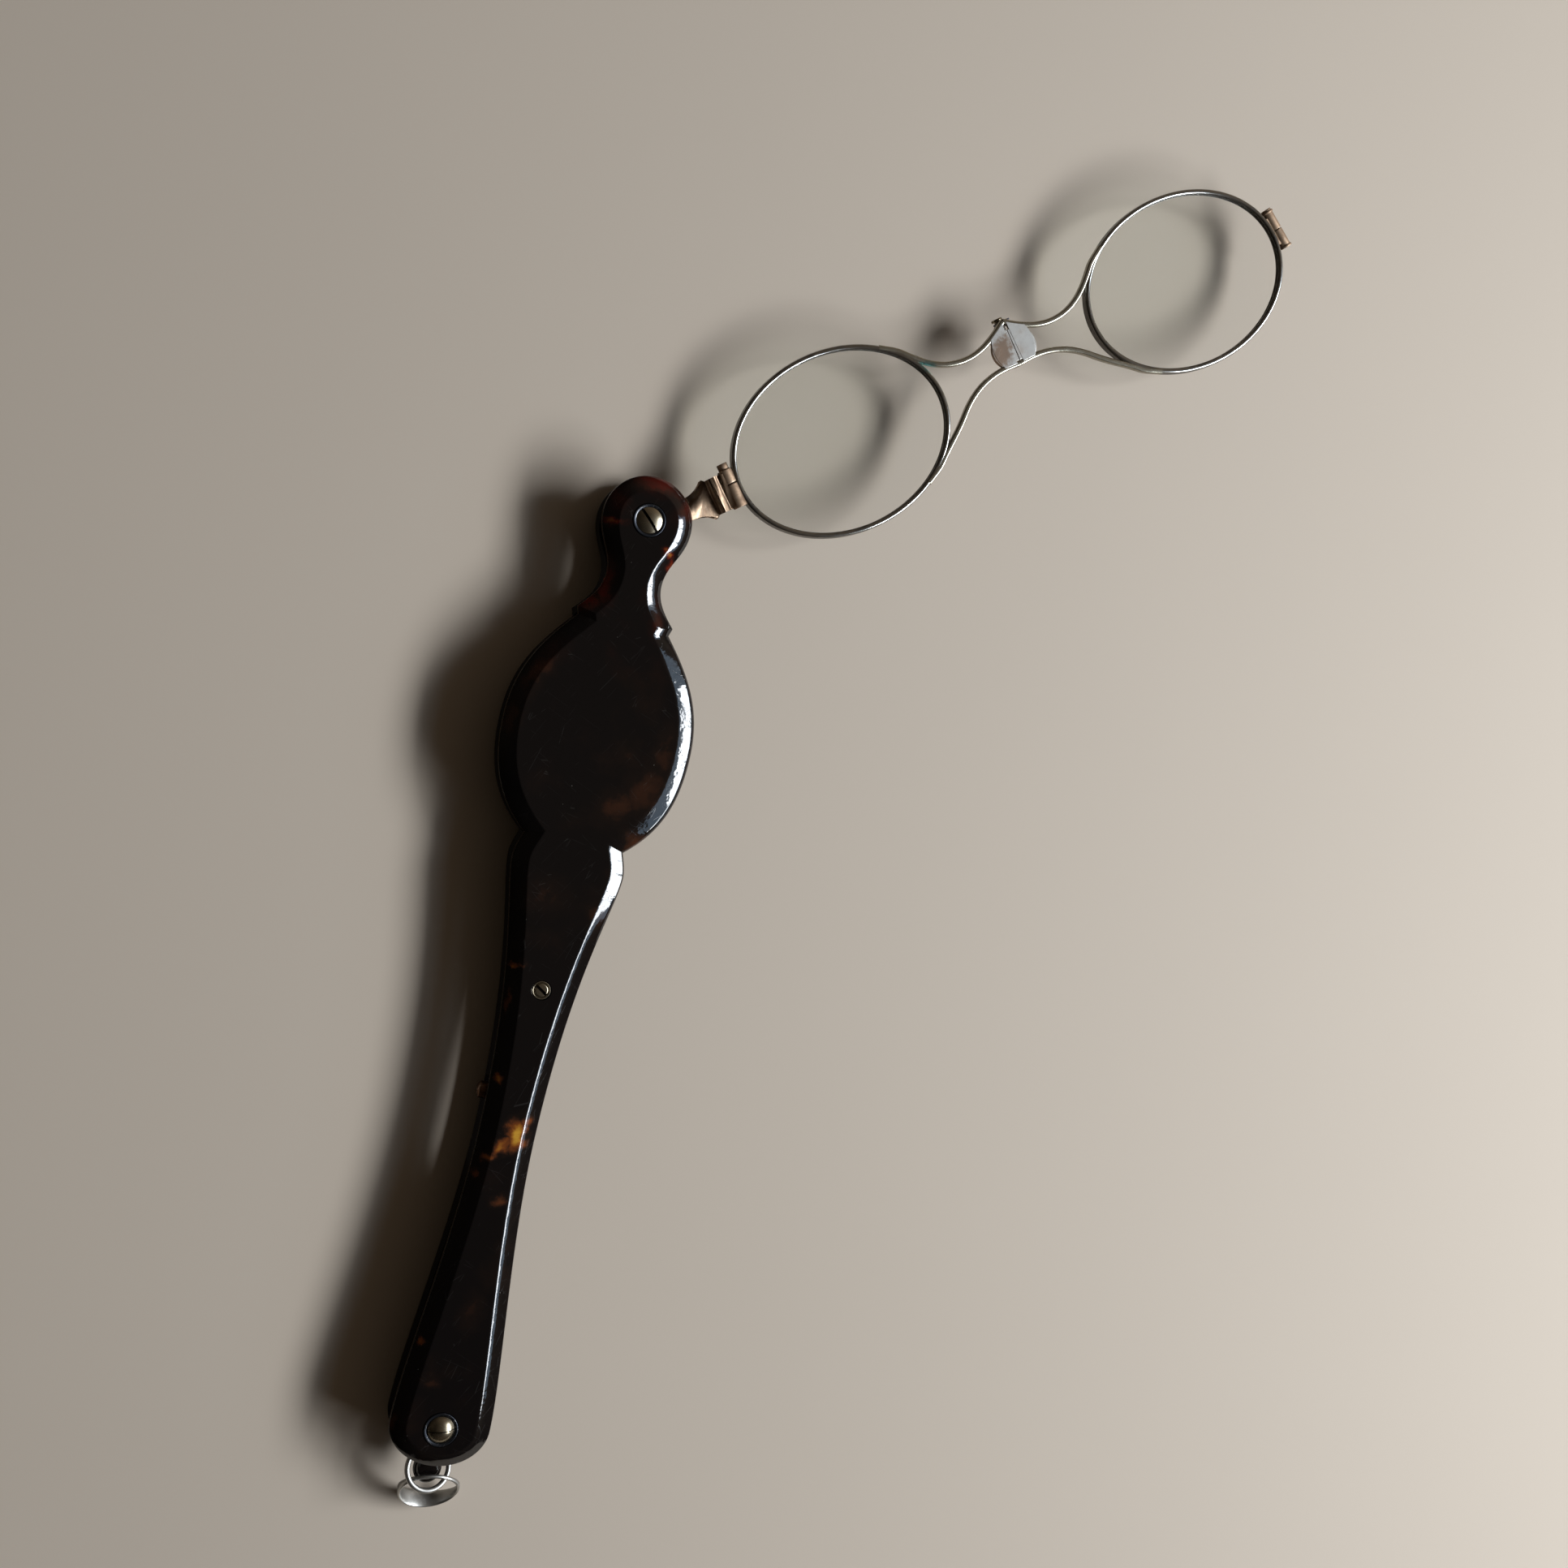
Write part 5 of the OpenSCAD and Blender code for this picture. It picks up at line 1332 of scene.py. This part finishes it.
def bend_jump_ring():
    """The small ring of round wire through the tongue."""
    n, wire_r, ring_r, hole_y, tip, lean = 128, 0.38, 3.0, 133.1, -19.4, 12
    lay = (Matrix.Translation((0, -hole_y, MID_Z)) @ Matrix.Rotation(radians(tip), 4, "X")
           @ Matrix.Rotation(radians(lean), 4, "Y") @ Matrix.Translation((0, -ring_r, 0)))
    path = moved_points(oval(ring_r, ring_r, n), lay)
    mesh = mesh_from("jump ring path", path, [], [(i, (i + 1) % n) for i in range(n)])
    obj = round_wire_tree().apply(link("jump_link", mesh), Radius=wire_r * MM, Sides=24,
                                  Material=FINISH["ring"])
    close_up(obj.data)
    shade(obj.data, 60)
    finish_piece(obj, "jump_ring", FINISH["ring"])


def forge_chain_ring():
    """The larger ring, a flat band that is broad in front and thin at the back."""
    steps, sides, radius, thick = 192, 28, 4.1, 0.5
    back_w, front_w, front = 0.5, 2.4, radians(-106)
    place, turn, tip = (1.0, -139.55, 3.85), 8.2, 45.3
    lay = (Matrix.Translation(place) @ Matrix.Rotation(radians(turn), 4, "Z")
           @ Matrix.Rotation(radians(tip), 4, "X"))
    points, faces = [], []
    for i in range(steps):
        a = 2 * pi * i / steps
        width = back_w + (front_w - back_w) * ((1 + cos(a - front)) / 2) ** 1.5
        for k in range(sides):
            b = 2 * pi * k / sides
            r = radius + thick / 2 * math.copysign(abs(cos(b)) ** 0.8, cos(b))
            points.append((r * cos(a), r * sin(a), width / 2 * sin(b)))
            j, m = (i + 1) % steps, (k + 1) % sides
            faces.append((i * sides + k, j * sides + k, j * sides + m, i * sides + m))
    mesh = mesh_from("chain_link", moved_points(points, lay), faces)
    close_up(mesh)
    shade(mesh, 60)
    finish_piece(link("chain_link", mesh), "chain_ring", FINISH["ring"])


class LORGNETTE_OT_rings(PieceOperator, bpy.types.Operator):
    """Bend the jump ring and forge the chain ring"""

    bl_idname = "lorgnette.rings"
    bl_label = "Tail rings"

    def build(self, scene):
        bend_jump_ring()
        forge_chain_ring()


# Where the photo was taken from: the camera's turn and place, its focal length and the photo's width in
# pixels, and the width of the sensor in mm
CAMERA_TURN = Matrix(((0.9415933, -0.2188144, -0.2559732),
                      (0.2215606, 0.9749724, -0.0184315),
                      (0.2535999, -0.0393586, 0.9665081)))
CAMERA_AT = Vector((-34.782, -36.002, 244.06)) * MM
FOCAL_PX, PHOTO_PX, SENSOR_W = 2090, 1932, 36.0
# The room's light fades along an axis: from one share at one place to another share at the next
ROOM_FADES = (("X", -0.6, 1.0, 0.09, 1.0), ("Z", 0.35, 0.85, 1.0, 0.36),
              ("Y", -0.42, -0.08, 0.30, 1.0), ("Z", 0.10, 0.42, 0.25, 1.0))
# Lamps stand this far, in metres, from the middle of the lit floor
LAMP_REACH, LIT_CENTRE = 0.78, Vector((0.0, -0.03, 0.0))


def soft_room(scene, strength):
    """The room's warm light, brightest toward the window's side."""
    world = bpy.data.worlds.new("soft room")
    scene.world = world
    world.use_nodes = True
    tree = world.node_tree
    back = next(n for n in tree.nodes if n.type == "BACKGROUND")
    where = tree.nodes.new("ShaderNodeTexCoord")
    apart = tree.nodes.new("ShaderNodeSeparateXYZ")
    tree.links.new(where.outputs["Generated"], apart.inputs[0])
    level = tree.nodes.new("ShaderNodeValue").outputs[0]
    level.default_value = strength
    for axis, low, high, to_low, to_high in ROOM_FADES:
        fade = tree.nodes.new("ShaderNodeMapRange")
        for key, value in (("From Min", low), ("From Max", high), ("To Min", to_low), ("To Max", to_high)):
            fade.inputs[key].default_value = value
        tree.links.new(apart.outputs[axis], fade.inputs["Value"])
        product = tree.nodes.new("ShaderNodeMath")
        product.operation = "MULTIPLY"
        tree.links.new(level, product.inputs[0])
        tree.links.new(fade.outputs["Result"], product.inputs[1])
        level = product.outputs[0]
    back.inputs["Color"].default_value = (1.0, 0.79, 0.59, 1.0)
    tree.links.new(level, back.inputs["Strength"])


def lamp(name, power, heading, elevation, width, height, colour):
    """Soft rectangular lamp that faces the middle of the lit floor from this heading and elevation."""
    light = bpy.data.lights.new(name, "AREA")
    light.shape, light.size, light.size_y = "RECTANGLE", width, height
    light.energy = power
    light.color = colour
    obj = bpy.data.objects.new(name, light)
    bpy.context.scene.collection.objects.link(obj)
    spot = Vector((*toward(heading, cos(radians(elevation))), sin(radians(elevation)))) * LAMP_REACH
    obj.location = LIT_CENTRE + spot
    obj.rotation_euler = (-spot).to_track_quat("-Z", "Y").to_euler()


class LORGNETTE_OT_stage(PieceOperator, bpy.types.Operator):
    """Set the pale floor, the soft light and the camera"""

    bl_idname = "lorgnette.stage"
    bl_label = "Stage"

    def build(self, scene):
        look = scene.lorgnette_stage
        reach = 3.0
        corners = [(-reach, -reach, 0), (reach, -reach, 0), (reach, reach, 0), (-reach, reach, 0)]
        floor = link("floor", bpy.data.meshes.new("floor"))
        floor.data.from_pydata(corners, [], [(0, 1, 2, 3)])
        floor.data.materials.append(floor_paint(look))
        scene.view_settings.view_transform = "Standard"
        soft_room(scene, look.sky)
        pale, blue, pane_w = (0.93, 0.965, 1.0), (0.55, 0.76, 1.0), 0.152
        for heading in (-8, 6, 20):
            lamp("window_pane", look.window / 3, heading, 33, pane_w, 0.145, pale)
        lamp("side_pane", look.window / 5, -22, 31.5, 0.168, 0.10, pale)
        lamp("window_border", look.glow, 2, 33, 0.72, 0.36, blue)
        eye = bpy.data.cameras.new("eye")
        eye.sensor_width, eye.lens = SENSOR_W, FOCAL_PX / PHOTO_PX * SENSOR_W
        eye.clip_start, eye.clip_end = 0.01, 10.0
        camera = bpy.data.objects.new("eye", eye)
        scene.collection.objects.link(camera)
        camera.matrix_world = Matrix.Translation(CAMERA_AT) @ CAMERA_TURN.to_4x4()
        scene.camera = camera


OPERATORS = (
    LORGNETTE_OT_finishes, LORGNETTE_OT_stage, LORGNETTE_OT_scales, LORGNETTE_OT_tail, LORGNETTE_OT_screws,
    LORGNETTE_OT_nuts, LORGNETTE_OT_eyewires, LORGNETTE_OT_lenses, LORGNETTE_OT_bows, LORGNETTE_OT_hinge,
    LORGNETTE_OT_stem, LORGNETTE_OT_works, LORGNETTE_OT_rings,
)
GROUPS = {
    "lorgnette_handle": LorgnetteHandle, "lorgnette_glasses": LorgnetteGlasses,
    "lorgnette_finish": LorgnetteFinish, "lorgnette_stage": LorgnetteStage,
}


class LORGNETTE_PT_panel(bpy.types.Panel):
    """Sizes, finishes and pieces of the lorgnette"""

    bl_idname = "LORGNETTE_PT_panel"
    bl_label = "Lorgnette"
    bl_space_type = "VIEW_3D"
    bl_region_type = "UI"
    bl_category = "Lorgnette"

    def draw(self, context):
        for name, group in GROUPS.items():
            box = self.layout.box()
            box.label(text=group.__doc__)
            for key in group.__annotations__:
                box.prop(getattr(context.scene, name), key)
        for operator in OPERATORS:
            self.layout.operator(operator.bl_idname, text=operator.bl_label)


def register():
    for group in GROUPS.values():
        bpy.utils.register_class(group)
    for operator in OPERATORS:
        bpy.utils.register_class(operator)
    bpy.utils.register_class(LORGNETTE_PT_panel)
    for name, group in GROUPS.items():
        setattr(bpy.types.Scene, name, bpy.props.PointerProperty(type=group))


def unregister():
    for name in GROUPS:
        delattr(bpy.types.Scene, name)
    for item in (LORGNETTE_PT_panel, *reversed(OPERATORS), *GROUPS.values()):
        bpy.utils.unregister_class(item)


def main():
    register()
    for operator in OPERATORS:
        group, name = operator.bl_idname.split(".")
        getattr(getattr(bpy.ops, group), name)()


if __name__ == "__main__":
    main()
